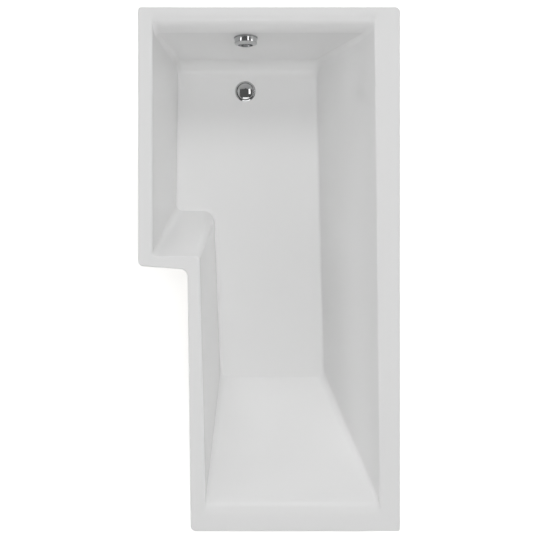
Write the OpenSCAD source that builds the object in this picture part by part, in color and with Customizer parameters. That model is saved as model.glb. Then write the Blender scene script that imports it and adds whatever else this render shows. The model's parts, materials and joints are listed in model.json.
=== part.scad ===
// L-shaped shower bath, 1700 x 850 mm, with its support frame, adjustable legs and pop-up waste.
// Frame: +Y towards the shower end, +X towards the room's wall, +Z up, origin on the room's floor
// under the middle of the rim. Lengths are in millimetres.

/* [Overall] */
// Length of the bath over the rim
bath_length = 1700; // [1600:10:1800]
// Width over the rim in the shower zone
bath_width = 850; // [820:10:900]
// Width over the rim just behind the step
waist_width = 690; // [670:5:710]
// Width over the rim at the head end
head_width = 679; // [660:1:700]
// Length of the shower zone along its front edge
shower_length = 840; // [800:10:880]
// How much farther the step edge lies at the inner corner than at the front corner
step_slant = 11; // [0:1:20]
// Height of the rim above the room's floor
rim_height = 560; // [540:5:600]
// Depth of the tub from the rim to the floor at the waste
tub_depth = 405; // [390:5:415]
// Fall of the tub's floor towards the waste, per metre
floor_fall = 9.6; // [4:0.2:14]

/* [Rim] */
// Depth of the lip that hangs round the rim
lip_depth = 36; // [30:1:45]
// Thickness of the lip
lip_wall = 5; // [4:0.5:7]
// Radius of the rim's outer top edge
rim_edge_r = 4; // [2:0.5:6]
// Flat rim along the front of the shower zone
front_rim = 40; // [38:1:50]
// Flat rim along the step, at the front corner
step_rim_front = 25; // [25:1:36]
// Flat rim along the step, at the inner corner
step_rim_inner = 37; // [30:1:44]
// Flat rim along the narrow front, at the inner corner
narrow_rim_inner = 34; // [30:1:44]
// Flat rim along the narrow front, at the head end
narrow_rim_head = 44; // [34:1:54]
// Flat rim across the head end
head_rim = 44; // [36:1:55]
// Flat rim along the wall side, at the head end
wall_rim_head = 60; // [56:1:70]
// Flat rim along the wall side, at the shower end
wall_rim_plug = 79; // [60:1:90]
// Flat rim across the shower end
plug_rim = 17; // [14:1:30]
// Radius where the rim turns down into the side walls
side_roll_r = 7; // [6:0.5:12]
// Radius where the rim turns down into the backrest
head_roll_r = 99; // [70:1:120]
// Radius where the rim turns down into the shower end wall
plug_roll_r = 60; // [40:1:75]

/* [Tub floor and walls] */
// From the front edge to the floor, at the shower end
front_floor_plug = 107; // [95:1:120]
// From the front edge to the floor, at the step
front_floor_step = 95; // [85:1:115]
// From the step edge to the floor
step_floor = 203; // [150:1:230]
// From the narrow front edge to the floor, at the inner corner
narrow_floor_inner = 79; // [70:1:95]
// From the narrow front edge to the floor, at the head end
narrow_floor_head = 102; // [90:1:120]
// From the head edge to the floor, under the backrest
head_floor = 471; // [420:1:500]
// From the wall edge to the floor, at the head end
wall_floor_head = 222; // [200:1:240]
// From the wall edge to the floor, at the shower end
wall_floor_plug = 261; // [240:1:280]
// From the shower end edge to the floor
plug_floor = 125; // [115:1:140]
// Radius between the floor and the side walls
side_fillet_r = 9; // [7:1:20]
// Radius between the floor and the shower end wall
plug_fillet_r = 60; // [40:1:70]

/* [Corners in plan] */
// Outer corners at the shower end, front side
outer_r_plug_front = 9; // [8:1:30]
// Outer corner at the front of the step
outer_r_step = 20; // [10:1:30]
// Outer radius in the step's inner corner
outer_r_inner = 25; // [10:1:40]
// Outer corner at the head end, front side
outer_r_head_front = 18; // [8:1:30]
// Outer corner at the head end, wall side
outer_r_head_wall = 8; // [8:1:30]
// Outer corner at the shower end, wall side
outer_r_plug_wall = 16; // [8:1:30]
// Tub corners at the rim
tub_r_top = 14; // [10:1:24]
// Tub corners at the floor
tub_r_floor = 26; // [18:1:34]
// Tub radius round the inner corner, at the floor
tub_r_inner_floor = 40; // [20:1:50]

/* [Acrylic and backing] */
// Thickness of the acrylic sheet
shell_wall = 5; // [4:0.5:6]
// Thickness of the glass-fibre backing
backing_wall = 3; // [2:0.5:3]
// Gap of the bond between layers that are glued
bond_gap = 0.1; // [0.05:0.05:0.2]
// Room round the fittings in the backing
backing_hole_r = 50; // [46:1:54]

/* [Base board and battens] */
// Thickness of the base board
board_t = 15; // [12:1:22]
// Base board's distance from the tub's floor radius
board_margin = 14; // [10:1:30]
// Half width of the notch for the waste
board_notch_r = 56; // [52:1:64]
// Thickness of the rim battens
batten_t = 15; // [12:1:20]
// Width of the battens along the narrow rims
narrow_batten_w = 15; // [12:1:16]
// Width of the battens along the middling rims
middle_batten_w = 24; // [18:1:27]
// Width of the batten along the wall side
wall_batten_w = 44; // [36:1:46]

/* [Cradles] */
// Width of the steel channels
channel_w = 40; // [36:1:50]
// Depth of the steel channels
channel_h = 20; // [16:1:25]
// Thickness of the channels' steel
channel_wall = 2; // [1.5:0.5:3]
// From the waste's centre to the shower end cradle
plug_cradle_setback = 128; // [110:1:150]
// From the foot of the backrest to the head end cradle
head_cradle_setback = 79; // [60:1:110]
// From the front corner of the step to the step bar
step_bar_setback = 100; // [80:1:120]
// How far the channels run past their legs
channel_overhang = 23; // [18:1:26]
// Radius of the cradle screws' shanks
cradle_screw_r = 2.5; // [2:0.25:3]

/* [Legs] */
// Radius of the threaded studs
stud_r = 6; // [5:0.5:7]
// Radius of the feet
foot_r = 25; // [20:1:28]
// Height of the feet's pads
foot_pad_h = 12; // [8:1:16]
// Height of the feet up to the top of their necks
foot_h = 30; // [24:1:40]
// Width across the flats of the locking nuts
nut_flats = 19; // [18:1:24]
// Height of the locking nuts
nut_h = 10; // [8:1:12]
// Adjustment of each leg, up and down from rest
leg_travel = 20; // [10:1:25]
// Stud that stands above the upper nut
stud_spare = 35; // [28:1:45]
// Room between the studs and the tub's wall
leg_room = 29; // [26:1:33]

/* [Wall brackets] */
// Distance between wall brackets
bracket_pitch = 500; // [300:10:500]
// Width of a wall bracket
bracket_w = 40; // [30:1:60]
// Thickness of the brackets' steel
bracket_wall = 2; // [1.5:0.5:3]
// Length of the plate that meets the room's wall
bracket_plate = 52; // [40:1:70]
// Radius of the wall screw holes
bracket_hole_r = 3; // [2.5:0.5:4]

/* [Waste] */
// Waste's centre from the shower end edge
waste_from_end = 222; // [216:1:240]
// Waste's centre from the middle of the width, towards the front
waste_from_middle = 84; // [70:1:95]
// Radius of the flange that shows in the floor
waste_flange_r = 36; // [34:0.5:38]
// Radius of the hole in the tub's floor
drain_hole_r = 26; // [25:0.5:27]
// Radius of the domed plug
plug_r = 28.5; // [27:0.5:31]
// Height of the plug's dome
plug_dome = 8; // [5:0.5:11]
// Radius of the plug's stem
stem_r = 3.5; // [3:0.25:4]
// Outer radius of the waste body
waste_body_r = 31; // [30:0.5:33]
// Wall of the moulded waste and overflow bodies
body_wall = 4; // [3:0.5:5]
// Height of the waste body
waste_body_h = 52; // [50:1:56]
// Radius of the threaded outlet, G 1 1/2
outlet_r = 23.9; // [20:0.1:24]
// Length of the threaded outlet
outlet_len = 22; // [16:1:24]
// Reach of the lift lever from its pin to the stem
lever_reach = 20; // [17:0.5:20.5]
// Turn of the lift lever, up from rest
lever_turn = 35; // [20:1:36]
// Radius of the lever's pin
pin_r = 2.5; // [2:0.25:3]

/* [Overflow] */
// Overflow's centre from the middle of the width, towards the front
overflow_from_middle = 77; // [60:1:90]
// Overflow's centre below the rim
overflow_depth = 100; // [95:1:120]
// Radius of the base ring behind the knob
overflow_ring_r = 40; // [38:0.5:44]
// Radius of the knob's face
knob_r = 37; // [34:0.5:38]
// How far the knob stands off the tub's wall
knob_reach = 23; // [20:0.5:28]
// Wall of the knob
knob_wall = 3; // [2:0.5:4]
// Radius of the overflow hole
overflow_hole_r = 26; // [25:0.5:27]
// Radius of the knob's spindle
spindle_r = 4; // [3:0.25:5]
// Turn of the knob from closed to open
knob_turn = 110; // [60:5:130]
// Outer radius of the overflow body
overflow_body_r = 38; // [37:0.5:42]
// Depth of the overflow body
overflow_body_h = 40; // [39:1:42]

/* [Hose and cable] */
// Inner radius of the hose
hose_bore_r = 12; // [10:0.5:12.5]
// Outer radius of the hose's ribs
hose_rib_r = 16; // [15:0.5:16]
// Radius of the hose between its ribs
hose_root_r = 14; // [13.5:0.5:14.5]
// Number of ribs on the hose
hose_ribs = 46; // [30:1:60]
// Radius of the control cable's sheath
cable_r = 3; // [2:0.25:3.5]

/* [Clearances] */
// Running clearance round a pin, stem, stud or spindle
running_fit = 0.05; // [0.02:0.01:0.1]
// Gap between parts that move apart
rest_gap = 0.3; // [0.2:0.05:0.4]
// Gap round a screw in its hole
screw_fit = 0.05; // [0.02:0.01:0.1]

/* [Hidden] */
round_fn = 48;
small_fn = 32;      // facets round screws, pins and small holes
hexagon = 6;
arc_steps = 6;      // facets on each corner in plan
roll_steps = 8;     // facets where the rim turns down
fillet_steps = 5;   // facets where the walls meet the floor
hose_sides = 8;
cable_sides = 8;
cable_rings = 40;

// Colours as in the photograph, and plain trade colours where nothing shows
white_acrylic = "#f4f4f3";
glass_fibre = "#cfc7a4";
chipboard = "#c8a877";
zinc_steel = "#b9bec2";
chrome_colour = "#c3c7ca";
black_plastic = "#2b2c2e";
white_plastic = "#e8e8e4";
black_rubber = "#1d1d1e";

// ---- The outline and the profiles of its six edges ----

half_l = bath_length / 2;
half_w = bath_width / 2;
step_y = half_l - shower_length;

// The rim's corners, anticlockwise from the front corner at the shower end.
// Edge i runs from corner i to the next one.
outline = [
    [-half_w, half_l],
    [-half_w, step_y],
    [half_w - waist_width, step_y - step_slant],
    [half_w - head_width, -half_l],
    [half_w, -half_l],
    [half_w, half_l]
];
FRONT = 0;
STEP = 1;
NARROW = 2;
HEAD = 3;
WALL = 4;
PLUG = 5;
EDGES = [FRONT, STEP, NARROW, HEAD, WALL, PLUG];
corner_count = len(outline);

outer_radii = [outer_r_plug_front, outer_r_step, outer_r_inner,
               outer_r_head_front, outer_r_head_wall, outer_r_plug_wall];
top_radii = [for (i = EDGES) tub_r_top];
floor_radii = [for (i = EDGES) i == NARROW ? tub_r_inner_floor : tub_r_floor];

// Profile at each end of an edge: flat rim, roll radius, distance to the floor, floor radius
profiles = [
    [[front_rim, side_roll_r, front_floor_plug, side_fillet_r],
     [front_rim, side_roll_r, front_floor_step, side_fillet_r]],
    [[step_rim_front, side_roll_r, step_floor - step_slant / 2, side_fillet_r],
     [step_rim_inner, side_roll_r, step_floor + step_slant / 2, side_fillet_r]],
    [[narrow_rim_inner, side_roll_r, narrow_floor_inner, side_fillet_r],
     [narrow_rim_head, side_roll_r, narrow_floor_head, side_fillet_r]],
    [[head_rim, head_roll_r, head_floor, side_fillet_r],
     [head_rim, head_roll_r, head_floor, side_fillet_r]],
    [[wall_rim_head, side_roll_r, wall_floor_head, side_fillet_r],
     [wall_rim_plug, side_roll_r, wall_floor_plug, side_fillet_r]],
    [[plug_rim, plug_roll_r, plug_floor, plug_fillet_r],
     [plug_rim, plug_roll_r, plug_floor, plug_fillet_r]]
];

// Slope of a wall from the horizontal: it is tangent to the roll and reaches the floor's depth
function wall_slope(p) =
    let (across = p[2] - p[0], down = tub_depth - p[1])
    atan2(down, across) + asin(p[1] / norm([across, down]));

// Distance in from the edge, at depth h below the rim, of the surface that lies t behind the tub's face
function inset_at(h, t, p) =
    let (
        slope = wall_slope(p),
        fillet_x = p[2] + p[3] * tan(slope / 2),
        fillet_r = p[3] + t,
        fillet_top = tub_depth - p[3] + fillet_r * cos(slope),
        wall_x = fillet_x - fillet_r * sin(slope),
        roll_r = max(p[1] - t, 0.5),
        roll_end = t + roll_r * (1 - cos(slope)),
        roll_x = wall_x + (roll_end - fillet_top) / tan(slope) - roll_r * sin(slope)
    )
    h <= roll_end ? roll_x + sqrt(max(0, roll_r * roll_r - pow(t + roll_r - h, 2)))
    : h >= fillet_top ? fillet_x - sqrt(max(0, fillet_r * fillet_r - pow(h - tub_depth + p[3], 2)))
    : wall_x + (h - fillet_top) / tan(slope);

// ---- Plan geometry ----

function wrap(i) = (i + corner_count) % corner_count;
function unit(v) = v / norm(v);
function left_of(v) = [-v.y, v.x];
function turned(v, a) = [v.x * cos(a) - v.y * sin(a), v.x * sin(a) + v.y * cos(a)];
function edge_dir(i) = unit(outline[wrap(i + 1)] - outline[wrap(i)]);

// The two ends of edge i, moved in by the distances o[0] and o[1]
function moved_edge(i, o) = [
    outline[wrap(i)] + left_of(edge_dir(i)) * o[0],
    outline[wrap(i + 1)] + left_of(edge_dir(i)) * o[1]
];
function meeting(a, b) =
    let (u = a[1] - a[0], v = b[1] - b[0])
    a[0] + u * cross(b[0] - a[0], v) / cross(u, v);
function corners(insets) = [
    for (i = EDGES) meeting(moved_edge(wrap(i - 1), insets[wrap(i - 1)]), moved_edge(i, insets[i]))
];

// A closed outline with an arc of radius r[i] at each corner
function rounded(c, r) = [
    for (i = EDGES)
        let (
            into = unit(c[i] - c[wrap(i - 1)]),
            out = unit(c[wrap(i + 1)] - c[i]),
            side = sign(cross(into, out)),
            turn = acos(into * out),
            start = c[i] - into * r[i] * tan(turn / 2),
            spoke = left_of(into) * side * r[i]
        )
        for (k = [0:arc_steps]) start + spoke - turned(spoke, side * turn * k / arc_steps)
];

// X of the surface t behind the tub's face along a long edge, at station y and depth h
function side_x(edge, y, h, t) =
    let (e = moved_edge(edge, [inset_at(h, t, profiles[edge][0]), inset_at(h, t, profiles[edge][1])]))
    e[0].x + (e[1].x - e[0].x) * (y - e[0].y) / (e[1].y - e[0].y);

// ---- Heights ----

waste_y = half_l - waste_from_end;
waste_x = -waste_from_middle;
slope_per_mm = floor_fall / 1000;
fall_angle = atan(slope_per_mm);
backing_face = shell_wall + bond_gap;
backing_back = backing_face + backing_wall;

// Height of a point at depth h below the rim; share is 0 at the rim and 1 at the floor
function height_at(y, h, share) = rim_height - h - slope_per_mm * (y - waste_y) * share;
function floor_z(y) = height_at(y, tub_depth, 1);

// ---- Lofted layers ----

function ring(insets, radii, h, share) = [
    for (q = rounded(corners(insets), radii)) [q.x, q.y, height_at(q.y, h, share)]
];
function same(x) = [for (i = EDGES) [x, x]];
// Radii t outside the tub's face: the inner corner of the step turns the other way
function grown(radii, t) = [for (i = EDGES) max(1, radii[i] + (i == NARROW ? -t : t))];

// Depth on the tub's face and on the surface t behind it, down the roll and then down the fillet
function stations(t) = concat(
    [for (k = [0:roll_steps]) let (c = 1 - cos(90 * k / roll_steps))
        [plug_roll_r * c, t + (plug_roll_r - t) * c]],
    [for (k = [fillet_steps:-1:0]) let (c = 1 - cos(90 * k / fillet_steps))
        [tub_depth - plug_fillet_r * c, tub_depth + t - (plug_fillet_r + t) * c]]
);
// Rings of one surface, from the rim down to the floor
function surface_rings(t) = [
    for (s = stations(t))
        let (share = s[0] / tub_depth)
        ring([for (i = EDGES) [inset_at(s[1], t, profiles[i][0]), inset_at(s[1], t, profiles[i][1])]],
             grown(top_radii + (floor_radii - top_radii) * share, t), s[1], share)
];
function lip_ring(inset, h) = ring(same(inset), grown(outer_radii, -inset), h, 0);
function reversed(list) = [for (i = [len(list) - 1:-1:0]) list[i]];

// A closed solid through rings that have as many points each. The diagonals lean the same way whether the
// rings climb or fall, so that layers which follow each other stay an even distance apart.
module loft(rings) {
    n = len(rings[0]);
    last = len(rings) - 1;
    points = [for (r = rings) for (p = r) p];
    sides = [
        for (j = [0:last - 1]) for (i = [0:n - 1])
            let (a = j * n + i, b = j * n + (i + 1) % n, climbs = rings[j][0].z < rings[j + 1][0].z)
            for (face = climbs ? [[a, b, b + n], [a, b + n, a + n]] : [[a, b, a + n], [b, b + n, a + n]]) face
    ];
    polyhedron(points = points,
               faces = concat([[for (i = [n - 1:-1:0]) i]], sides, [[for (i = [0:n - 1]) last * n + i]]),
               convexity = 10);
}

// ---- The shower end wall, which carries the overflow ----

function plug_wall_point(h) =
    let (y = half_l - inset_at(h, 0, profiles[PLUG][0]))
    [y, height_at(y, h, h / tub_depth)];
wall_top = plug_wall_point(plug_roll_r);
wall_foot = plug_wall_point(tub_depth - plug_fillet_r);
wall_tilt = atan2(wall_top[0] - wall_foot[0], wall_top[1] - wall_foot[1]);
overflow_yz = wall_top + (wall_foot - wall_top)
    * (overflow_depth - plug_roll_r) / (tub_depth - plug_fillet_r - plug_roll_r);
overflow_x = -overflow_from_middle;

// Places its children on the overflow's axis, which points out of the wall into the tub
module at_overflow() {
    translate([overflow_x, overflow_yz[0], overflow_yz[1]]) rotate([90 - wall_tilt, 0, 0]) children();
}
// The same place as a function, for the ends of the hose and the cable
function overflow_point(p) = [
    overflow_x + p.x,
    overflow_yz[0] + p.y * sin(wall_tilt) - p.z * cos(wall_tilt),
    overflow_yz[1] + p.y * cos(wall_tilt) + p.z * sin(wall_tilt)
];

// ---- Heights of the waste ----

floor_at_waste = floor_z(waste_y);
recess_depth = 2.2;
recess_fit = 1;
recess_r = waste_flange_r + recess_fit;
recess_z = floor_at_waste - recess_depth;
boss_wall = 9;
boss_r = backing_hole_r - 6;
boss_z = recess_z - boss_wall;
gasket_t = 3;
gasket_margin = 1;
cut_over = 1;       // how far a cutting tool runs past what it cuts
tall = 60;          // length of a cutting tool that only has to pass a wall

module at_waste(z) {
    translate([waste_x, waste_y, z]) children();
}

module bath_shell() {
    color(white_acrylic) difference() {
        union() {
            loft(concat(
                reversed(surface_rings(0)),
                [for (k = [0:2]) lip_ring(rim_edge_r * (1 - sin(45 * k)), rim_edge_r * (1 - cos(45 * k)))],
                [lip_ring(0, lip_depth), lip_ring(lip_wall, lip_depth), lip_ring(lip_wall, shell_wall)],
                surface_rings(shell_wall)
            ));
            at_waste(boss_z)
                cylinder(h = floor_at_waste - shell_wall / 2 - boss_z, r = boss_r, $fn = round_fn);
        }
        at_waste(recess_z) cylinder(h = tall, r = recess_r, $fn = round_fn);
        at_waste(recess_z - tall / 2) cylinder(h = tall, r = drain_hole_r, $fn = round_fn);
        at_overflow() translate([0, 0, -tall / 2]) cylinder(h = tall, r = overflow_hole_r, $fn = round_fn);
    }
}

module glass_fibre_backing() {
    flange_in = lip_wall + rest_gap;
    color(glass_fibre) difference() {
        loft(concat(
            reversed(surface_rings(backing_face)),
            [lip_ring(flange_in, backing_face), lip_ring(flange_in, backing_back)],
            surface_rings(backing_back)
        ));
        at_waste(floor_at_waste - tall) cylinder(h = tall, r = backing_hole_r, $fn = round_fn);
        at_overflow() translate([0, 0, -tall / 2]) cylinder(h = tall, r = backing_hole_r, $fn = round_fn);
    }
}

// ---- Base board ----

board_top_depth = tub_depth + backing_back + bond_gap;
function floor_edge(p) = p[2] + p[3] * tan(wall_slope(p) / 2) + board_margin;
board_insets = [for (i = EDGES) [floor_edge(profiles[i][0]), floor_edge(profiles[i][1])]];
function board_under(y) = height_at(y, board_top_depth + board_t, 1);

// Screws stand in pairs across each channel's run under the board
screw_head_r = 4.5;
screw_head_h = 2.5;
screw_bite = 11;
screw_inset = 30;
screw_side = 8;
module screw_hole() {
    cylinder(h = 2 * screw_bite, r = cradle_screw_r + screw_fit, center = true, $fn = small_fn);
}

module base_board() {
    color(chipboard) difference() {
        translate([0, waste_y, height_at(waste_y, board_top_depth, 1)])
            rotate([-fall_angle, 0, 0]) translate([0, -waste_y, -board_t])
                linear_extrude(board_t) difference() {
                    polygon(corners(board_insets));
                    translate([waste_x, waste_y]) circle(r = board_notch_r, $fn = round_fn);
                    translate([waste_x - board_notch_r, waste_y]) square([2 * board_notch_r, waste_from_end]);
                }
        cradle_screw_places() screw_hole();
    }
}

// ---- Rim battens ----

batten_in = lip_wall + 3;
batten_depth = backing_back + bond_gap;

// Where a batten that runs to a corner ends, clear of the lip's rounded corner
function corner_cut(i) = max(batten_in, outer_radii[i]);

// A batten along an edge, cut short at its ends
module batten(edge, width, start_cut, end_cut, drop = 0) {
    along = edge_dir(edge);
    from = outline[edge] + along * start_cut;
    to = outline[wrap(edge + 1)] - along * end_cut;
    side = left_of(along);
    color(chipboard)
        translate([0, 0, rim_height - batten_depth - drop - batten_t]) linear_extrude(batten_t)
            polygon([from + side * batten_in, to + side * batten_in,
                     to + side * (batten_in + width), from + side * (batten_in + width)]);
}

batten_joint = 1;
narrow_cut = batten_in + narrow_batten_w + batten_joint;
middle_cut = batten_in + middle_batten_w + batten_joint;
wall_cut = batten_in + wall_batten_w + batten_joint;
// The roll at the shower end starts within the batten's width, so that batten hangs lower by this
plug_batten_drop =
    let (r = plug_roll_r - backing_back, past = max(0, batten_in + middle_batten_w - plug_rim))
    r - sqrt(r * r - past * past) + rest_gap;

module rim_batten_front() {
    batten(FRONT, middle_batten_w, corner_cut(FRONT), corner_cut(STEP));
}
module rim_batten_step() {
    batten(STEP, narrow_batten_w, middle_cut, -batten_in);
}
module rim_batten_narrow() {
    batten(NARROW, narrow_batten_w, batten_in, corner_cut(HEAD));
}
module rim_batten_head() {
    batten(HEAD, middle_batten_w, narrow_cut, wall_cut);
}
module rim_batten_wall() {
    difference() {
        batten(WALL, wall_batten_w, corner_cut(WALL), corner_cut(PLUG));
        bracket_screw_places() screw_hole();
    }
}
module rim_batten_plug() {
    batten(PLUG, middle_batten_w, wall_cut, middle_cut, plug_batten_drop);
}

// ---- Cradles ----

plug_cradle_y = waste_y - plug_cradle_setback;
head_cradle_y = -half_l + head_floor + head_cradle_setback;
step_bar_y = step_y + step_bar_setback;
function channel_top(y) = board_under(y + channel_w / 2) - bond_gap;

// The studs stand clear of the tub's wall at the height that their tips reach
function stud_top(y) = channel_top(y) + nut_h + stud_spare;
function leg_depth(y) = rim_height - stud_top(y) - leg_travel;
function leg_x(edge, y) =
    side_x(edge, y, leg_depth(y), backing_back) + (edge == WALL ? 1 : -1) * (leg_room + stud_r);
legs = [
    [leg_x(FRONT, plug_cradle_y), plug_cradle_y],
    [leg_x(WALL, plug_cradle_y), plug_cradle_y],
    [leg_x(FRONT, step_bar_y), step_bar_y],
    [leg_x(NARROW, head_cradle_y), head_cradle_y],
    [leg_x(WALL, head_cradle_y), head_cradle_y]
];
stud_hole_r = stud_r + 0.5;

// Ends of the base board across a station y, for the cradle screws
function board_x(edge, y) =
    let (e = moved_edge(edge, board_insets[edge]))
    e[0].x + (e[1].x - e[0].x) * (y - e[0].y) / (e[1].y - e[0].y);
screw_spots = [
    for (row = [[FRONT, plug_cradle_y], [NARROW, step_bar_y], [NARROW, head_cradle_y]])
        for (x = [board_x(row[0], row[1]) + screw_inset, board_x(WALL, row[1]) - screw_inset])
            for (side = [-1, 1]) [x, row[1] + side * screw_side, channel_top(row[1])]
];
module cradle_screw_places() {
    for (p = screw_spots) translate(p) children();
}

// An inverted steel channel that runs along X, with its web on top, from end to end and with these studs
module channel(x_from, x_to, y, stud_xs) {
    color(zinc_steel) translate([0, y, channel_top(y)]) difference() {
        translate([x_from, -channel_w / 2, -channel_h]) cube([x_to - x_from, channel_w, channel_h]);
        translate([x_from - cut_over, channel_wall - channel_w / 2, -channel_h - cut_over])
            cube([x_to - x_from + 2 * cut_over, channel_w - 2 * channel_wall,
                  channel_h - channel_wall + cut_over]);
        for (x = stud_xs) translate([x, 0, -channel_h]) cylinder(h = tall, r = stud_hole_r, $fn = round_fn);
        for (p = screw_spots) if (p.y > y - channel_w / 2 && p.y < y + channel_w / 2)
            translate([p.x, p.y - y, 0]) screw_hole();
    }
}
module cradle_plug_end() {
    channel(legs[0].x - channel_overhang, legs[1].x + channel_overhang, plug_cradle_y,
            [legs[0].x, legs[1].x]);
}
module cradle_head_end() {
    channel(legs[3].x - channel_overhang, legs[4].x + channel_overhang, head_cradle_y,
            [legs[3].x, legs[4].x]);
}
module step_bar() {
    channel(legs[2].x - channel_overhang, board_x(WALL, step_bar_y), step_bar_y, [legs[2].x]);
}

// A pan-head screw that points up, with its head's top at z = 0
module up_screw() {
    cylinder(h = screw_bite, r = cradle_screw_r, $fn = small_fn);
    translate([0, 0, -screw_head_h]) cylinder(h = screw_head_h, r = screw_head_r, $fn = small_fn);
}
module cradle_screws() {
    color(zinc_steel) cradle_screw_places() translate([0, 0, -channel_wall]) up_screw();
}

module locking_nut() {
    difference() {
        cylinder(h = nut_h, r = nut_flats / 2 / cos(180 / hexagon), $fn = hexagon);
        translate([0, 0, -cut_over])
            cylinder(h = nut_h + 2 * cut_over, r = stud_r + running_fit, $fn = round_fn);
    }
}
module leg_nuts() {
    color(zinc_steel) for (p = legs)
        for (z = [channel_top(p.y), channel_top(p.y) - channel_wall - nut_h])
            translate([p.x, p.y, z]) locking_nut();
}

// ---- Legs ----

foot_neck_r = 11;
foot_bevel = 4;
slot_w = 2;
slot_depth = 3;
module leg_stud(i) {
    p = legs[i];
    color(zinc_steel) translate([p.x, p.y, foot_pad_h]) difference() {
        cylinder(h = stud_top(p.y) - foot_pad_h, r = stud_r, $fn = round_fn);
        // Screwdriver slot in the tip
        translate([-stud_r - cut_over, -slot_w / 2, stud_top(p.y) - foot_pad_h - slot_depth])
            cube([2 * (stud_r + cut_over), slot_w, slot_depth + cut_over]);
    }
}
module foot(i) {
    color(black_plastic) translate([legs[i].x, legs[i].y, 0]) difference() {
        rotate_extrude($fn = round_fn) polygon([
            [0, 0], [foot_r, 0], [foot_r, foot_pad_h - foot_bevel], [foot_r - foot_bevel, foot_pad_h],
            [foot_neck_r, foot_pad_h], [foot_neck_r, foot_h], [0, foot_h]
        ]);
        translate([0, 0, foot_pad_h]) cylinder(h = foot_h, r = stud_r, $fn = round_fn);
    }
}

// ---- Wall brackets ----

bracket_ys = [-bracket_pitch, 0, bracket_pitch];
bracket_top = rim_height - batten_depth - batten_t - bond_gap;
bracket_tab_margin = 12;    // the batten runs this far past the tab
bracket_tab_end = half_w - batten_in - wall_batten_w + bracket_tab_margin;
bracket_fold_x = half_w - batten_in;
bracket_fold_drop = 2;      // below the lip
bracket_fold_z = rim_height - lip_depth - bracket_fold_drop;
bracket_screw_x = (bracket_tab_end + bracket_fold_x - 3 * bracket_wall) / 2;
bracket_hole_drop = 4;      // below the middle of the plate, for a driver's room under the lip
bracket_hole_z = bracket_fold_z - bracket_plate / 2 - bracket_hole_drop;
module bracket_screw_places() {
    for (y = bracket_ys) for (side = [-1, 1])
        translate([bracket_screw_x, y + side * bracket_w / 4, bracket_top]) children();
}
// Steel strip: a tab under the wall batten, a fold clear of the lip and a plate on the room's wall
module wall_bracket(i) {
    t = bracket_wall;
    color(zinc_steel) difference() {
        translate([0, bracket_ys[i] + bracket_w / 2, 0]) rotate([90, 0, 0])
            linear_extrude(bracket_w) polygon([
                [bracket_tab_end, bracket_top], [bracket_fold_x, bracket_top],
                [bracket_fold_x, bracket_fold_z], [half_w, bracket_fold_z],
                [half_w, bracket_fold_z - bracket_plate], [half_w - t, bracket_fold_z - bracket_plate],
                [half_w - t, bracket_fold_z - t], [bracket_fold_x - t, bracket_fold_z - t],
                [bracket_fold_x - t, bracket_top - t], [bracket_tab_end, bracket_top - t]
            ]);
        translate([half_w - tall / 2, bracket_ys[i], bracket_hole_z]) rotate([0, 90, 0])
            cylinder(h = tall, r = bracket_hole_r, $fn = small_fn);
        bracket_screw_places() screw_hole();
    }
}
module bracket_screws() {
    color(zinc_steel) bracket_screw_places() translate([0, 0, -bracket_wall]) up_screw();
}

// ---- Waste ----

flange_h = 3.2;
flange_top = recess_z + flange_h;
spigot_r = drain_hole_r - 0.5;
spigot_wall = 3.5;
spigot_len = 15;
hub_r = 7;
spoke_w = 4;
spoke_h = 5;
spoke_drop = 9;
body_top = boss_z - gasket_t;
body_floor = body_top - waste_body_h;
body_bore_r = waste_body_r - body_wall;
port_z = body_top - waste_body_h / 2 - 4;
port_bore_r = 13;
port_r = port_bore_r + body_wall;
port_len = 20;
lever_x = waste_x + lever_reach;
lever_z = body_top - 22;
lever_tip_r = 4;
lever_arm_t = 3.2;
lever_hub_r = 5;
lever_w = 9;
lever_tail = 10;    // from the pin to the cable's hook
tail_len = 12;
plug_base = flange_top + rest_gap;
seal_r = 23.2;
seal_section = 1.5;
stem_foot = lever_z - lever_reach * sin(lever_turn / 2) + lever_tip_r + rest_gap;
cable_port_z = lever_z - lever_tail;
gland_r = 7;
gland_neck_r = 5.5;
gland_hex_h = 4;
gland_len = 12;
// The flange's crowned top and its dished mouth, as steps in from an edge and down from the top
flange_edge = [[0, 2], [0.4, 1.6], [2.2, 0.8], [4, 0.25], [5.6, 0]];
flange_mouth = [[0, 1.2], [spigot_wall, 3]];

module waste_flange() {
    color(chrome_colour) at_waste(0) {
        rotate_extrude($fn = round_fn) polygon(concat(
            [[spigot_r - spigot_wall, recess_z - spigot_len], [spigot_r, recess_z - spigot_len],
             [spigot_r, recess_z], [waste_flange_r, recess_z]],
            [for (step = flange_edge) [waste_flange_r - step.x, flange_top - step.y]],
            [[plug_r - 1, flange_top]],
            [for (step = flange_mouth) [spigot_r - step.x, flange_top - step.y]]
        ));
        difference() {
            union() {
                translate([0, 0, recess_z - spoke_drop - spoke_h])
                    cylinder(h = spoke_h, r = hub_r, $fn = round_fn);
                for (a = [45:90:315]) rotate([0, 0, a])
                    translate([0, -spoke_w / 2, recess_z - spoke_drop - spoke_h])
                        cube([spigot_r - spigot_wall / 2, spoke_w, spoke_h]);
            }
            translate([0, 0, recess_z - tall / 2])
                cylinder(h = tall, r = stem_r + running_fit, $fn = round_fn);
        }
    }
}

module body_gasket() {
    color(black_rubber) at_waste(body_top) difference() {
        cylinder(h = gasket_t, r = boss_r - gasket_margin, $fn = round_fn);
        translate([0, 0, -cut_over])
            cylinder(h = gasket_t + 2 * cut_over, r = drain_hole_r + gasket_margin, $fn = round_fn);
    }
}

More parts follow.
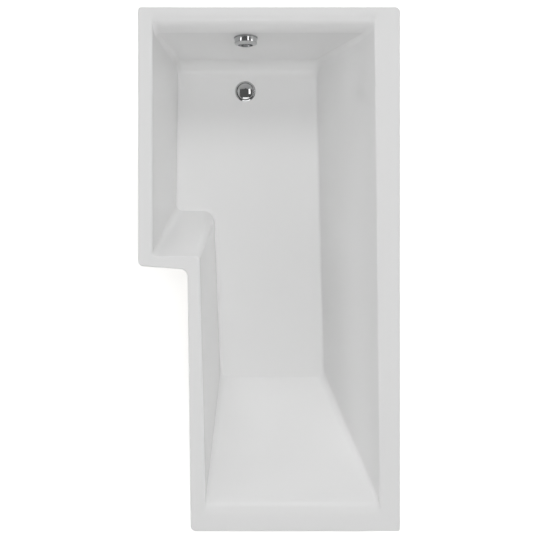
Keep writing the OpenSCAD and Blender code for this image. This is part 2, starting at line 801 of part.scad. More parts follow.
// Moulded cup under the tub, with a side port for the hose and a threaded outlet below
module waste_body() {
    top_flange = 5;
    color(white_plastic) at_waste(0) difference() {
        union() {
            translate([0, 0, body_top - top_flange])
                cylinder(h = top_flange, r = boss_r - gasket_margin, $fn = round_fn);
            translate([0, 0, body_floor]) cylinder(h = waste_body_h, r = waste_body_r, $fn = round_fn);
            translate([0, 0, body_floor - outlet_len]) cylinder(h = outlet_len, r = outlet_r, $fn = round_fn);
            translate([0, 0, port_z]) rotate([-90, 0, 0])
                cylinder(h = waste_body_r + port_len, r = port_r, $fn = round_fn);
        }
        translate([0, 0, body_floor + body_wall])
            cylinder(h = waste_body_h, r = body_bore_r, $fn = round_fn);
        translate([0, 0, body_floor - outlet_len - cut_over])
            cylinder(h = outlet_len + body_wall + 2 * cut_over, r = outlet_r - body_wall, $fn = round_fn);
        translate([0, 0, port_z]) rotate([-90, 0, 0])
            cylinder(h = waste_body_r + port_len + cut_over, r = port_bore_r, $fn = round_fn);
        // Seats of the lever's pin, and the way in for the cable
        translate([lever_reach, 0, lever_z]) rotate([90, 0, 0])
            cylinder(h = 2 * pin_half, r = pin_r, center = true, $fn = small_fn);
        translate([0, 0, cable_port_z]) rotate([0, 90, 0])
            cylinder(h = waste_body_r + cut_over, r = cable_r + screw_fit, $fn = small_fn);
    }
}
// The pin's ends stop inside the cup's wall
function chord_half(r) = sqrt(r * r - lever_reach * lever_reach);
pin_half = (chord_half(body_bore_r) + chord_half(waste_body_r)) / 2;
module lever_pin() {
    color(zinc_steel) at_waste(lever_z) translate([lever_reach, 0, 0]) rotate([90, 0, 0])
        cylinder(h = 2 * pin_half, r = pin_r, center = true, $fn = small_fn);
}

// Bell crank: the arm lifts the stem and the cable pulls the tail
module lift_lever() {
    color(black_plastic) translate([lever_x, waste_y, lever_z]) rotate([0, 0, 180]) difference() {
        union() {
            rotate([90, 0, 0]) cylinder(h = lever_w, r = lever_hub_r, center = true, $fn = small_fn);
            rotate([0, lever_turn / 2, 0]) {
                translate([0, -lever_w / 2, -lever_arm_t / 2]) cube([lever_reach, lever_w, lever_arm_t]);
                translate([lever_reach, 0, 0]) rotate([90, 0, 0])
                    cylinder(h = lever_w, r = lever_tip_r, center = true, $fn = small_fn);
            }
            translate([-lever_arm_t / 2, -lever_w / 2, -tail_len]) cube([lever_arm_t, lever_w, tail_len]);
        }
        rotate([90, 0, 0]) cylinder(h = tall, r = pin_r + running_fit, center = true, $fn = small_fn);
    }
}

module plug_stem() {
    color(chrome_colour) at_waste(stem_foot)
        cylinder(h = plug_base - stem_foot, r = stem_r, $fn = round_fn);
}
// A dome on a short straight edge, flattest in the middle and rounding over at its rim
dome_edge = 0.8;
dome_steps = 10;
module waste_plug() {
    color(chrome_colour) at_waste(plug_base) rotate_extrude($fn = round_fn) polygon(concat(
        [[0, 0], [plug_r, 0]],
        [for (k = [0:dome_steps - 1]) let (a = 90 * k / dome_steps)
            [plug_r * cos(a), dome_edge + (plug_dome - dome_edge) * sin(a)]],
        [[0, plug_dome]]
    ));
}
module plug_seal() {
    color(black_rubber) at_waste(plug_base) rotate_extrude($fn = round_fn)
        translate([seal_r - seal_section, -seal_section]) square([2 * seal_section, seal_section]);
}

// ---- Overflow ----

ring_t = 3;
collar_r = overflow_hole_r - 0.4;
collar_wall = 3;
collar_len = 14;
overflow_hub_r = 8;
body_face = shell_wall + bond_gap + gasket_t;
overflow_back = body_face + overflow_body_h;
overflow_bore_r = overflow_body_r - body_wall;
overflow_port_z = port_r + 0.5 - overflow_back;
overflow_port_len = 16;
arm_w = 10;
arm_h = 6;
post_r = 4;
post_spots = [[-14, 9], [14, 9]];
post_gap = 3;       // between the collar's arms and the posts
post_top = -(collar_len + post_gap);
boss_len = 10;      // of the spindle's seat
screw_r = 2;
screw_cap_r = 3.6;
screw_cap_h = 2.4;
post_bite = 10;     // of the screws in the posts
crank_t = 4;
crank_r = 14;
crank_drop = 9;     // from the collar to the crank
crank_z = -(collar_len + crank_drop);
spindle_end = -(overflow_back - body_wall);
spindle_gap = 1;    // between the spindle and the bottom of its seat
knob_back = ring_t + rest_gap;

// Base ring and collar that clamp the overflow body through the tub's wall
module overflow_flange() {
    collar_bore_r = collar_r - collar_wall;
    arm_angles = concat([for (p = post_spots) atan2(p.y, p.x)], [270]);
    color(chrome_colour) at_overflow() difference() {
        union() {
            rotate_extrude($fn = round_fn) polygon([
                [collar_bore_r, -collar_len], [collar_r, -collar_len], [collar_r, 0],
                [overflow_ring_r, 0], [overflow_ring_r, ring_t], [collar_bore_r, ring_t]
            ]);
            // The hub's seam lies between two arms
            translate([0, 0, -collar_len]) rotate([0, 0, 90])
                cylinder(h = collar_len, r = overflow_hub_r, $fn = round_fn);
            for (a = arm_angles) rotate([0, 0, a]) translate([0, -arm_w / 2, -collar_len])
                cube([collar_r - collar_wall / 2, arm_w, arm_h]);
        }
        translate([0, 0, -tall / 2]) cylinder(h = tall, r = spindle_r + running_fit, $fn = round_fn);
        for (p = post_spots) translate([p.x, p.y, -tall / 2])
            cylinder(h = tall, r = screw_r + screw_fit, $fn = small_fn);
    }
}
module overflow_screws() {
    under_head = arm_h - collar_len;
    color(zinc_steel) at_overflow() for (p = post_spots) translate([p.x, p.y, 0]) {
        translate([0, 0, under_head]) cylinder(h = screw_cap_h, r = screw_cap_r, $fn = small_fn);
        translate([0, 0, post_top - post_bite])
            cylinder(h = under_head - post_top + post_bite, r = screw_r, $fn = small_fn);
    }
}
module overflow_gasket() {
    color(black_rubber) at_overflow() translate([0, 0, -body_face]) difference() {
        cylinder(h = gasket_t, r = overflow_body_r, $fn = round_fn);
        translate([0, 0, -cut_over])
            cylinder(h = gasket_t + 2 * cut_over, r = overflow_hole_r + gasket_margin, $fn = round_fn);
    }
}

// Moulded cup behind the tub's wall, with a port down to the hose
module overflow_body() {
    color(white_plastic) at_overflow() difference() {
        union() {
            difference() {
                union() {
                    translate([0, 0, -overflow_back])
                        cylinder(h = overflow_body_h, r = overflow_body_r, $fn = round_fn);
                    translate([0, 0, overflow_port_z]) rotate([90, 0, 0])
                        cylinder(h = overflow_body_r + overflow_port_len, r = port_r, $fn = round_fn);
                }
                translate([0, 0, body_wall - overflow_back])
                    cylinder(h = overflow_body_h, r = overflow_bore_r, $fn = round_fn);
                translate([0, 0, overflow_port_z]) {
                    rotate([90, 0, 0])
                        cylinder(h = overflow_body_r + overflow_port_len + cut_over, r = port_bore_r,
                                 $fn = round_fn);
                    rotate([0, 90, 0])
                        cylinder(h = overflow_body_r + cut_over, r = cable_r + screw_fit, $fn = small_fn);
                }
            }
            translate([0, 0, body_wall / 2 - overflow_back]) {
                cylinder(h = boss_len, r = overflow_hub_r, $fn = round_fn);
                for (p = post_spots) translate([p.x, p.y, 0])
                    cylinder(h = overflow_back - body_wall / 2 + post_top, r = post_r, $fn = small_fn);
            }
        }
        translate([0, 0, spindle_end]) cylinder(h = tall, r = spindle_r + running_fit, $fn = round_fn);
        for (p = post_spots) translate([p.x, p.y, post_top - post_bite - cut_over])
            cylinder(h = tall, r = screw_r + screw_fit, $fn = small_fn);
    }
}

// Round knob, slightly tapered, with a bevelled face and a hub for the spindle
module overflow_knob() {
    bevel = 2;
    taper = 1;
    color(chrome_colour) at_overflow() difference() {
        union() {
            rotate_extrude($fn = round_fn) polygon([
                [0, knob_reach - knob_wall], [knob_r - knob_wall, knob_reach - knob_wall],
                [knob_r + taper - knob_wall, knob_back], [knob_r + taper, knob_back],
                [knob_r, knob_reach - bevel], [knob_r - bevel, knob_reach], [0, knob_reach]
            ]);
            translate([0, 0, knob_back])
                cylinder(h = knob_reach - knob_wall / 2 - knob_back, r = overflow_hub_r, $fn = round_fn);
        }
        translate([0, 0, -cut_over])
            cylinder(h = cut_over + knob_reach - knob_wall, r = spindle_r, $fn = round_fn);
    }
}
// Spindle with the crank that pulls the cable
module knob_spindle() {
    color(zinc_steel) at_overflow() {
        translate([0, 0, spindle_end + spindle_gap])
            cylinder(h = knob_reach - knob_wall - spindle_end - spindle_gap, r = spindle_r,
                     $fn = round_fn);
        rotate([0, 0, -90 - knob_turn / 2]) {
            translate([0, -spindle_r, crank_z]) cube([crank_r, 2 * spindle_r, crank_t]);
            translate([crank_r, 0, crank_z]) cylinder(h = crank_t, r = spindle_r, $fn = small_fn);
        }
    }
}

// ---- Hose and control cable ----

nut_wall = 3;
nut_len = 16;
nut_ribs = 10;
nut_rib_w = 4;
nut_rib_out = 1.5;
nut_lap = 2;        // how far a nut runs past its port
hose_lead = 2 * hose_rib_r;
hose_top = overflow_point([0, -(overflow_body_r + overflow_port_len), overflow_port_z]);
hose_end = [waste_x, waste_y + waste_body_r + port_len, port_z];
down_wall = [0, -sin(wall_tilt), -cos(wall_tilt)];
to_waste = [0, -1, 0];
hose_bend = 110;    // reach of the hose's bend from each straight end

function bend_point(a, a_dir, b, b_dir, reach, u) =
    a * pow(1 - u, 3) + (a + a_dir * reach) * 3 * u * pow(1 - u, 2)
    + (b - b_dir * reach) * 3 * u * u * (1 - u) + b * pow(u, 3);
// Point on the hose's middle line; u runs from 0 at the overflow to 1 at the waste
lead_share = 0.12;
function hose_point(u) =
    u < lead_share ? hose_top + down_wall * hose_lead * u / lead_share
    : u > 1 - lead_share ? hose_end - to_waste * hose_lead * (1 - u) / lead_share
    : bend_point(hose_top + down_wall * hose_lead, down_wall, hose_end - to_waste * hose_lead, to_waste,
                 hose_bend, (u - lead_share) / (1 - 2 * lead_share));
function hose_dir(u) = unit(hose_point(min(1, u + 0.01)) - hose_point(max(0, u - 0.01)));

// A ring of points round a middle line; side is a direction that is never along it
function tube_ring(p, dir, side, r, n) =
    let (a = unit(cross(dir, side)), b = cross(dir, a))
    [for (k = [0:n - 1]) p + a * r * cos(360 * k / n) + b * r * sin(360 * k / n)];

// Ribbed outside and smooth bore: two rings to a rib
module overflow_hose() {
    steps = 2 * hose_ribs;
    outside = [
        for (j = [0:steps]) let (u = j / steps)
            tube_ring(hose_point(u), hose_dir(u), [1, 0, 0], j % 2 == 1 ? hose_rib_r : hose_root_r,
                      hose_sides)
    ];
    bore = [
        for (j = [0:2:steps]) let (u = j / steps)
            tube_ring(hose_point(u), hose_dir(u), [1, 0, 0], hose_bore_r, hose_sides)
    ];
    n = hose_sides;
    all = concat(outside, reversed(bore));
    count = len(all);
    points = [for (r = all) for (p = r) p];
    faces = [
        for (j = [0:count - 1]) for (i = [0:n - 1])
            let (a = j * n + i, b = j * n + (i + 1) % n, c = ((j + 1) % count) * n + (i + 1) % n,
                 d = ((j + 1) % count) * n + i)
            for (face = [[a, c, b], [a, d, c]]) face
    ];
    color(white_plastic) polyhedron(points = points, faces = faces, convexity = 8);
}

// Ribbed ring nut: one end screws over a port, the other grips the hose's end
module hose_nut() {
    difference() {
        union() {
            cylinder(h = nut_len, r = port_r + nut_wall, $fn = round_fn);
            for (k = [0:nut_ribs - 1]) rotate([0, 0, 360 * k / nut_ribs])
                translate([port_r + nut_wall / 2, -nut_rib_w / 2, 0])
                    cube([nut_wall / 2 + nut_rib_out, nut_rib_w, nut_len]);
        }
        translate([0, 0, -cut_over])
            cylinder(h = nut_len + 2 * cut_over, r = port_r + screw_fit, $fn = round_fn);
    }
}
module hose_nut_top() {
    start = overflow_body_r + overflow_port_len + nut_lap - nut_len;
    color(black_plastic) at_overflow() translate([0, -start, overflow_port_z]) rotate([90, 0, 0]) hose_nut();
}
module hose_nut_bottom() {
    start = waste_body_r + port_len + nut_lap - nut_len;
    color(black_plastic) at_waste(port_z) translate([0, start, 0]) rotate([-90, 0, 0]) hose_nut();
}

// The cable leaves one gland and enters the other. Its route behind the tub is given as steps from the
// upper gland, down the end wall, and then as steps from the lower gland
cable_top = overflow_point([overflow_body_r + gland_len, 0, overflow_port_z]);
cable_end = [waste_x + waste_body_r + gland_len, waste_y, cable_port_z];
steps_from_top = [[0, 0, 0], [2 * cable_r, 0, 0], [27, -1, -8], [43, -5, -36], [47, -13, -96],
                  [47, -25, -166], [49, -37, -236]];
steps_from_end = [[67, 116, 56], [71, 86, 19], [69, 52, 3], [57, 20, -1], [2 * cable_r, 0, 0], [0, 0, 0]];
cable_points = concat([for (step = steps_from_top) cable_top + step],
                      [for (step = steps_from_end) cable_end + step]);
// Smooth curve through the points, u from 0 to the number of spans
function smooth_point(p, u) =
    let (last = len(p) - 1, i = min(floor(u), last - 1), f = u - i,
         a = p[max(i - 1, 0)], b = p[i], c = p[i + 1], d = p[min(i + 2, last)])
    (2 * b + (c - a) * f + (2 * a - 5 * b + 4 * c - d) * f * f + (3 * b - a - 3 * c + d) * pow(f, 3)) / 2;
// Its direction there, which is square to the gland at each end
function smooth_dir(p, u) =
    let (last = len(p) - 1, near = 0.02)
    u <= 0 ? unit(p[1] - p[0])
    : u >= last ? unit(p[last] - p[last - 1])
    : unit(smooth_point(p, min(last, u + near)) - smooth_point(p, max(0, u - near)));
cable_side = [-0.5, 1, 0.4];    // never along the cable
module control_cable() {
    spans = len(cable_points) - 1;
    color(black_plastic) loft([
        for (j = [0:cable_rings]) let (u = spans * j / cable_rings)
            reversed(tube_ring(smooth_point(cable_points, u), smooth_dir(cable_points, u), cable_side,
                               cable_r, cable_sides))
    ]);
}
// The sheath stops at the gland's end and the bare cable runs through
module cable_gland() {
    difference() {
        union() {
            cylinder(h = gland_len, r = gland_neck_r, $fn = small_fn);
            cylinder(h = gland_hex_h, r = gland_r, $fn = hexagon);
        }
        translate([0, 0, -cut_over])
            cylinder(h = gland_len + 2 * cut_over, r = cable_r / 2, $fn = small_fn);
    }
}
module cable_gland_top() {
    color(black_plastic) at_overflow() translate([overflow_body_r, 0, overflow_port_z])
        rotate([0, 90, 0]) cable_gland();
}
module cable_gland_bottom() {
    color(black_plastic) at_waste(cable_port_z) translate([waste_body_r, 0, 0])
        rotate([0, 90, 0]) cable_gland();
}

// ---- What is drawn ----

bath_shell();
glass_fibre_backing();
base_board();
rim_batten_front();
rim_batten_step();
rim_batten_narrow();
rim_batten_head();
rim_batten_wall();
rim_batten_plug();
cradle_plug_end();
cradle_head_end();
step_bar();
cradle_screws();
leg_nuts();
wall_bracket(0);  // wall_bracket_1
wall_bracket(1);  // wall_bracket_2
wall_bracket(2);  // wall_bracket_3
bracket_screws();
waste_flange();
body_gasket();
waste_body();
lever_pin();
overflow_flange();
overflow_gasket();
overflow_body();
overflow_screws();
hose_nut_top();
hose_nut_bottom();
overflow_hose();
control_cable();
cable_gland_top();
cable_gland_bottom();
waste_plug();
plug_stem();
plug_seal();
overflow_knob();
knob_spindle();
lift_lever();
leg_stud(0);  // leg_stud_1
leg_stud(1);  // leg_stud_2
leg_stud(2);  // leg_stud_3
leg_stud(3);  // leg_stud_4
leg_stud(4);  // leg_stud_5
foot(0);  // foot_1
foot(1);  // foot_2
foot(2);  // foot_3
foot(3);  // foot_4
foot(4);  // foot_5
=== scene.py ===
"""Looks of the L-shaped shower bath: fine shell, fittings with real edges, finishes, light, camera.

Metres, +Y towards the shower end, +X towards the room's wall, +Z up. The bath's driving sizes are
repeated from the part's source. What is small takes its place from them or from the frame's nodes.
"""
import json
import math
from contextlib import contextmanager

import bmesh
import bpy
from mathutils import Matrix, Vector

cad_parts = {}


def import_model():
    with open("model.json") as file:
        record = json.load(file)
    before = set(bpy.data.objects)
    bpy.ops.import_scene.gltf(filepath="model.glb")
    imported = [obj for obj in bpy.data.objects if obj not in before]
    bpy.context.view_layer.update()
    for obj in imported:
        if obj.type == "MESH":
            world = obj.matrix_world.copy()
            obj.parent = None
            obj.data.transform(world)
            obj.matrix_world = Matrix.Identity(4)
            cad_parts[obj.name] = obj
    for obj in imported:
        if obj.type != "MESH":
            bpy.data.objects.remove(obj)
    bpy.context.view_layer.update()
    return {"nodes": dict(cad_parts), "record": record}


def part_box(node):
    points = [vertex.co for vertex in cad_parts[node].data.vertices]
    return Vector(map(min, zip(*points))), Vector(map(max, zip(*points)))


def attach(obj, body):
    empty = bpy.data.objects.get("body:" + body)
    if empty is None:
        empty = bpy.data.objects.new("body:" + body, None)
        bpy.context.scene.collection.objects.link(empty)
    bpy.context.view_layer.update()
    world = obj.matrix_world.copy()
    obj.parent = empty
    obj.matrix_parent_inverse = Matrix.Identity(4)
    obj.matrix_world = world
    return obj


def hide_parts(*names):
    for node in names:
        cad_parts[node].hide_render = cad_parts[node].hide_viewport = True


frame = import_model()
record = frame["record"]

# ---- Driving sizes of the bath ----

HALF_L, HALF_W = 0.850, 0.425
WAIST_WIDTH, HEAD_WIDTH = 0.690, 0.679
STEP_Y, STEP_SLANT = 0.010, 0.011
RIM_Z, TUB_DEPTH = 0.560, 0.405
WASTE_X, WASTE_Y = -0.084, 0.628
FLOOR_FALL = 0.0096
LIP_DEPTH, LIP_WALL, RIM_EDGE = 0.036, 0.005, 0.004
SIDE_ROLL, HEAD_ROLL, PLUG_ROLL = 0.007, 0.099, 0.060
SIDE_FILLET, PLUG_FILLET = 0.009, 0.060
SHELL_WALL, BOND_GAP, BACKING_WALL = 0.005, 0.0001, 0.003
BACKING_FACE = SHELL_WALL + BOND_GAP
BACKING_BACK = BACKING_FACE + BACKING_WALL
REST_GAP = 0.0003     # between pieces that lie side by side

# Corners of the rim, anticlockwise from the front corner at the shower end.
# Edge i starts at corner i.
OUTLINE = [Vector(p) for p in (
    (-HALF_W, HALF_L), (-HALF_W, STEP_Y), (HALF_W - WAIST_WIDTH, STEP_Y - STEP_SLANT),
    (HALF_W - HEAD_WIDTH, -HALF_L), (HALF_W, -HALF_L), (HALF_W, HALF_L))]
EDGES = len(OUTLINE)
INNER_CORNER, PLUG_EDGE = 2, 5    # the step's corner that points in, and the shower end
# Radii of the corners: outside the rim, and of the tub at the rim and at the floor
OUTER_RADII = (0.009, 0.020, 0.025, 0.018, 0.008, 0.016)
TOP_RADII = (0.014,) * EDGES
FLOOR_RADII = (0.026, 0.026, 0.040, 0.026, 0.026, 0.026)

# At both ends of each edge: flat rim, roll radius, distance to the floor, floor radius
PROFILES = (
    ((0.040, SIDE_ROLL, 0.107, SIDE_FILLET), (0.040, SIDE_ROLL, 0.095, SIDE_FILLET)),
    ((0.025, SIDE_ROLL, 0.1975, SIDE_FILLET), (0.037, SIDE_ROLL, 0.2085, SIDE_FILLET)),
    ((0.034, SIDE_ROLL, 0.079, SIDE_FILLET), (0.044, SIDE_ROLL, 0.102, SIDE_FILLET)),
    ((0.044, HEAD_ROLL, 0.471, SIDE_FILLET), (0.044, HEAD_ROLL, 0.471, SIDE_FILLET)),
    ((0.060, SIDE_ROLL, 0.222, SIDE_FILLET), (0.079, SIDE_ROLL, 0.261, SIDE_FILLET)),
    ((0.017, PLUG_ROLL, 0.125, PLUG_FILLET), (0.017, PLUG_ROLL, 0.125, PLUG_FILLET)),
)

# How finely the shell is made
ARC_STEPS = 14
ROLL_STEPS = 12
LIP_STEPS = 6
RUN_SHARES = (0.01, 0.06, 0.2, 0.4, 0.6, 0.8, 0.94, 0.99)
LEAST_STEP = 0.0004
LEAST_ROLL, LEAST_CORNER = 0.0005, 0.001
SUPPORT = 0.0025      # a row of points this far from each bend keeps the flat beyond it flat
SLIVER = 0.000003     # edges shorter than this are taken out
TINY = 0.000001       # what is smaller than this counts as nothing

# ---- Small helpers ----


def link(name, data):
    """A new object in the scene that holds a mesh, a lamp or a camera."""
    made = bpy.data.objects.new(name, data)
    bpy.context.scene.collection.objects.link(made)
    return made


@contextmanager
def editing(mesh):
    """A mesh opened for changes, which are written back at the end."""
    box = bmesh.new()
    box.from_mesh(mesh)
    yield box
    box.to_mesh(mesh)
    box.free()


def mesh_of(name, points, faces, sharp=35):
    """A smooth mesh whose edges stay sharp where faces meet at more than this angle."""
    mesh = bpy.data.meshes.new(name)
    mesh.from_pydata([tuple(p) for p in points], [], faces)
    mesh.validate()
    with editing(mesh) as box:
        bmesh.ops.recalc_face_normals(box, faces=box.faces)
    mesh.shade_smooth()
    mesh.set_sharp_from_angle(angle=math.radians(sharp))
    return mesh


def dress(piece, body, slot, *nodes):
    """A piece rides on a body, takes a slot's finish and may stand for CAD nodes."""
    piece.data.materials.clear()
    piece.data.materials.append(FINISH[slot])
    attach(piece, body)
    if nodes:
        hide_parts(*nodes)


def ring_faces(rings, count, closed=False):
    """Quads between rings of count points each, and caps at both ends unless the rings close up."""
    spans = rings if closed else rings - 1
    faces = []
    for j in range(spans):
        low, high = j * count, ((j + 1) % rings) * count
        faces += [(low + i, low + (i + 1) % count, high + (i + 1) % count, high + i)
                  for i in range(count)]
    if not closed:
        faces.append(tuple(reversed(range(count))))
        faces.append(tuple((rings - 1) * count + i for i in range(count)))
    return faces


def loft(name, rings, sharp=35, closed=False):
    """A solid through rings that have as many points each, closed by caps or on itself."""
    points = [p for r in rings for p in r]
    faces = ring_faces(len(rings), len(rings[0]), closed)
    return link(name, mesh_of(name, points, faces, sharp))


def lathe(name, profile, place, sides=96):
    """A closed profile of (radius, height) points turned round Z, then placed."""
    points, faces, rows = [], [], []
    for radius, height in profile:
        if radius < TINY:
            rows.append([len(points)] * sides)
            points.append(place @ Vector((0, 0, height)))
            continue
        rows.append(list(range(len(points), len(points) + sides)))
        points += [place @ Vector((radius * math.cos(a), radius * math.sin(a), height))
                   for a in (2 * math.pi * k / sides for k in range(sides))]
    for j in range(len(rows)):
        low, high = rows[j], rows[(j + 1) % len(rows)]
        if low[0] == low[1] and high[0] == high[1]:
            continue
        for i in range(sides):
            n = (i + 1) % sides
            face = [low[i], low[n], high[n], high[i]]
            faces.append(tuple(dict.fromkeys(face)))
    return link(name, mesh_of(name, points, faces))


def rounded_profile(points, radii, steps=5):
    """A closed profile with each corner rounded by its radius."""
    out = []
    count = len(points)
    for i, (x, y) in enumerate(points):
        here, before, after = (Vector(p) for p in ((x, y), points[i - 1], points[(i + 1) % count]))
        if radii[i] <= 0:
            out.append((x, y))
            continue
        into, away = (here - before).normalized(), (after - here).normalized()
        turn = math.acos(max(-1, min(1, into.dot(away))))
        side = 1 if into.cross(away) > 0 else -1
        start = here - into * (radii[i] * math.tan(turn / 2))
        centre = start + left_of(into) * side * radii[i]
        spoke = start - centre
        for k in range(steps + 1):
            a = side * turn * k / steps
            out.append((centre.x + spoke.x * math.cos(a) - spoke.y * math.sin(a),
                        centre.y + spoke.x * math.sin(a) + spoke.y * math.cos(a)))
    return out


def left_of(v):
    """The vector turned a quarter turn to the left."""
    return Vector((-v.y, v.x))


def turned_by(degrees, axis):
    """A turn about an axis."""
    return Matrix.Rotation(math.radians(degrees), 4, axis)


def cut(piece, cutter, operation="DIFFERENCE"):
    """Cuts one object by another, or joins the two, and removes the other."""
    step = piece.modifiers.new("cut", "BOOLEAN")
    step.operation = operation
    step.solver = "EXACT"
    step.object = cutter
    bpy.context.view_layer.update()
    evaluated = piece.evaluated_get(bpy.context.evaluated_depsgraph_get())
    made = bpy.data.meshes.new_from_object(evaluated)
    piece.modifiers.clear()
    piece.data = made
    bpy.data.objects.remove(cutter)


def cylinder(name, radius, low, high, place, sides=96):
    """A plain cylinder along Z between two heights, to cut with."""
    return lathe(name, [(0, low), (radius, low), (radius, high), (0, high)], place, sides)


def block(piece, place, size):
    """Adds a box to a piece's mesh."""
    with editing(piece.data) as box:
        made = bmesh.ops.create_cube(box, size=1.0)
        bmesh.ops.transform(box, matrix=place @ Matrix.Diagonal((*size, 1)), verts=made["verts"])


def join(piece, other):
    """Moves the other object's mesh into the piece."""
    with editing(piece.data) as box:
        box.from_mesh(other.data)
    bpy.data.objects.remove(other)


def even_shading(piece, sharp=35):
    """Smooth shading in which broad faces keep their own direction.

    Slivers are taken out first, and a missing face of up to four sides is filled.
    """
    with editing(piece.data) as box:
        bmesh.ops.dissolve_degenerate(box, dist=SLIVER, edges=box.edges)
        bmesh.ops.holes_fill(box, edges=[e for e in box.edges if e.is_boundary], sides=4)
    piece.data.shade_smooth()
    piece.data.set_sharp_from_angle(angle=math.radians(sharp))
    step = piece.modifiers.new("even", "WEIGHTED_NORMAL")
    step.weight = 90
    step.keep_sharp = True


# ---- Finishes ----

NOISE_LOW, NOISE_HIGH = 0.3, 0.7     # most of a noise lies between these


def nodes_of(name):
    """A new material with its node tree, its shader and a coordinate source."""
    made = bpy.data.materials.new(name)
    made.use_nodes = True
    tree = made.node_tree
    shader = tree.nodes["Principled BSDF"]
    where = tree.nodes.new("ShaderNodeTexCoord")
    return made, tree, shader, where.outputs["Object"]


def number(tree, operation, *values):
    """The result of a Math node; each value is a number or a socket."""
    made = tree.nodes.new("ShaderNodeMath")
    made.operation = operation
    for socket, value in zip(made.inputs, values):
        if isinstance(value, (int, float)):
            socket.default_value = value
        else:
            tree.links.new(value, socket)
    return made.outputs["Value"]


def noise(tree, where, scale, detail=3.0, stretch=None):
    """A noise texture's factor, stretched along an axis if asked."""
    if stretch:
        mapping = tree.nodes.new("ShaderNodeMapping")
        mapping.inputs["Scale"].default_value = stretch
        tree.links.new(where, mapping.inputs["Vector"])
        where = mapping.outputs["Vector"]
    made = tree.nodes.new("ShaderNodeTexNoise")
    made.inputs["Scale"].default_value = scale
    made.inputs["Detail"].default_value = detail
    tree.links.new(where, made.inputs["Vector"])
    return made.outputs["Fac"]


def cells(tree, where, scale):
    """A cell texture's distance, and the channels of its cells' random tones."""
    made = tree.nodes.new("ShaderNodeTexVoronoi")
    made.inputs["Scale"].default_value = scale
    tree.links.new(where, made.inputs["Vector"])
    tone = tree.nodes.new("ShaderNodeSeparateColor")
    tree.links.new(made.outputs["Color"], tone.inputs["Color"])
    return made.outputs["Distance"], tone.outputs


def ramp(tree, factor, low, high, start=NOISE_LOW, end=NOISE_HIGH):
    """Colours between low and high as factor goes from start to end."""
    made = tree.nodes.new("ShaderNodeValToRGB")
    stops = made.color_ramp.elements
    stops[0].position, stops[1].position = start, end
    stops[0].color, stops[1].color = (*low, 1), (*high, 1)
    tree.links.new(factor, made.inputs["Fac"])
    return made.outputs["Color"]


def spread(tree, factor, low, high):
    """A number between low and high, as factor goes over the middle range of a noise."""
    made = tree.nodes.new("ShaderNodeMapRange")
    made.inputs["From Min"].default_value = NOISE_LOW
    made.inputs["From Max"].default_value = NOISE_HIGH
    made.inputs["To Min"].default_value = low
    made.inputs["To Max"].default_value = high
    tree.links.new(factor, made.inputs["Value"])
    return made.outputs["Result"]


def bump(tree, shader, height, depth, edge=0.0):
    """Surface relief of this depth, over edges rounded by the radius edge."""
    made = tree.nodes.new("ShaderNodeBump")
    made.inputs["Distance"].default_value = depth
    made.inputs["Strength"].default_value = 1.0
    tree.links.new(height, made.inputs["Height"])
    if edge:
        soft = tree.nodes.new("ShaderNodeBevel")
        soft.samples = 4
        soft.inputs["Radius"].default_value = edge
        tree.links.new(soft.outputs["Normal"], made.inputs["Normal"])
    tree.links.new(made.outputs["Normal"], shader.inputs["Normal"])


def plain(name, dark, light, colour_scale, rough, rough_scale, relief, relief_scale,
          edge=0.0, metal=0.0, **sockets):
    """A finish of two near tones, with roughness and relief that vary over the surface."""
    made, tree, shader, where = nodes_of(name)
    shader.inputs["Metallic"].default_value = metal
    for socket, value in sockets.items():
        shader.inputs[socket.replace("_", " ")].default_value = value
    colour = ramp(tree, noise(tree, where, colour_scale), dark, light)
    tree.links.new(colour, shader.inputs["Base Color"])
    roughness = spread(tree, noise(tree, where, rough_scale), *rough)
    tree.links.new(roughness, shader.inputs["Roughness"])
    bump(tree, shader, noise(tree, where, relief_scale, detail=5.0), relief, edge)
    return made


# The ways that the chopped strands lie, in degrees about X, Y and Z, and how long they look
FIBRE_TURNS = ((20, 35, 15), (75, 10, 70), (-40, 60, 115), (50, -25, 160), (-15, -70, 40))
FIBRE_STRETCH = (1.0, 0.09, 1.0)


def glass_fibre():
    """Resin over chopped strands: pale straw with crossing fibres and a rolled, lumpy surface."""
    made, tree, shader, where = nodes_of("glass_fibre")
    fibre = 0.0
    for turn in FIBRE_TURNS:
        turned = tree.nodes.new("ShaderNodeMapping")
        turned.inputs["Rotation"].default_value = [math.radians(a) for a in turn]
        tree.links.new(where, turned.inputs["Vector"])
        strands = noise(tree, turned.outputs["Vector"], scale=260, detail=2.0,
                        stretch=FIBRE_STRETCH)
        fibre = number(tree, "MAXIMUM", strands, fibre)
    colour = ramp(tree, fibre, (0.56, 0.54, 0.44), (0.74, 0.72, 0.63), start=0.55, end=0.78)
    tree.links.new(colour, shader.inputs["Base Color"])
    roughness = spread(tree, noise(tree, where, scale=25), low=0.28, high=0.55)
    tree.links.new(roughness, shader.inputs["Roughness"])
    bump(tree, shader, fibre, depth=0.0006)
    return made


def chipboard():
    """Pressed wood flakes of several tones."""
    made, tree, shader, where = nodes_of("chipboard")
    distance, tones = cells(tree, where, scale=300)
    colour = ramp(tree, tones["Red"], (0.36, 0.22, 0.10), (0.66, 0.48, 0.27), start=0.05, end=0.85)
    tree.links.new(colour, shader.inputs["Base Color"])
    roughness = spread(tree, noise(tree, where, scale=60), low=0.6, high=0.8)
    tree.links.new(roughness, shader.inputs["Roughness"])
    bump(tree, shader, distance, depth=0.0004, edge=0.001)
    return made


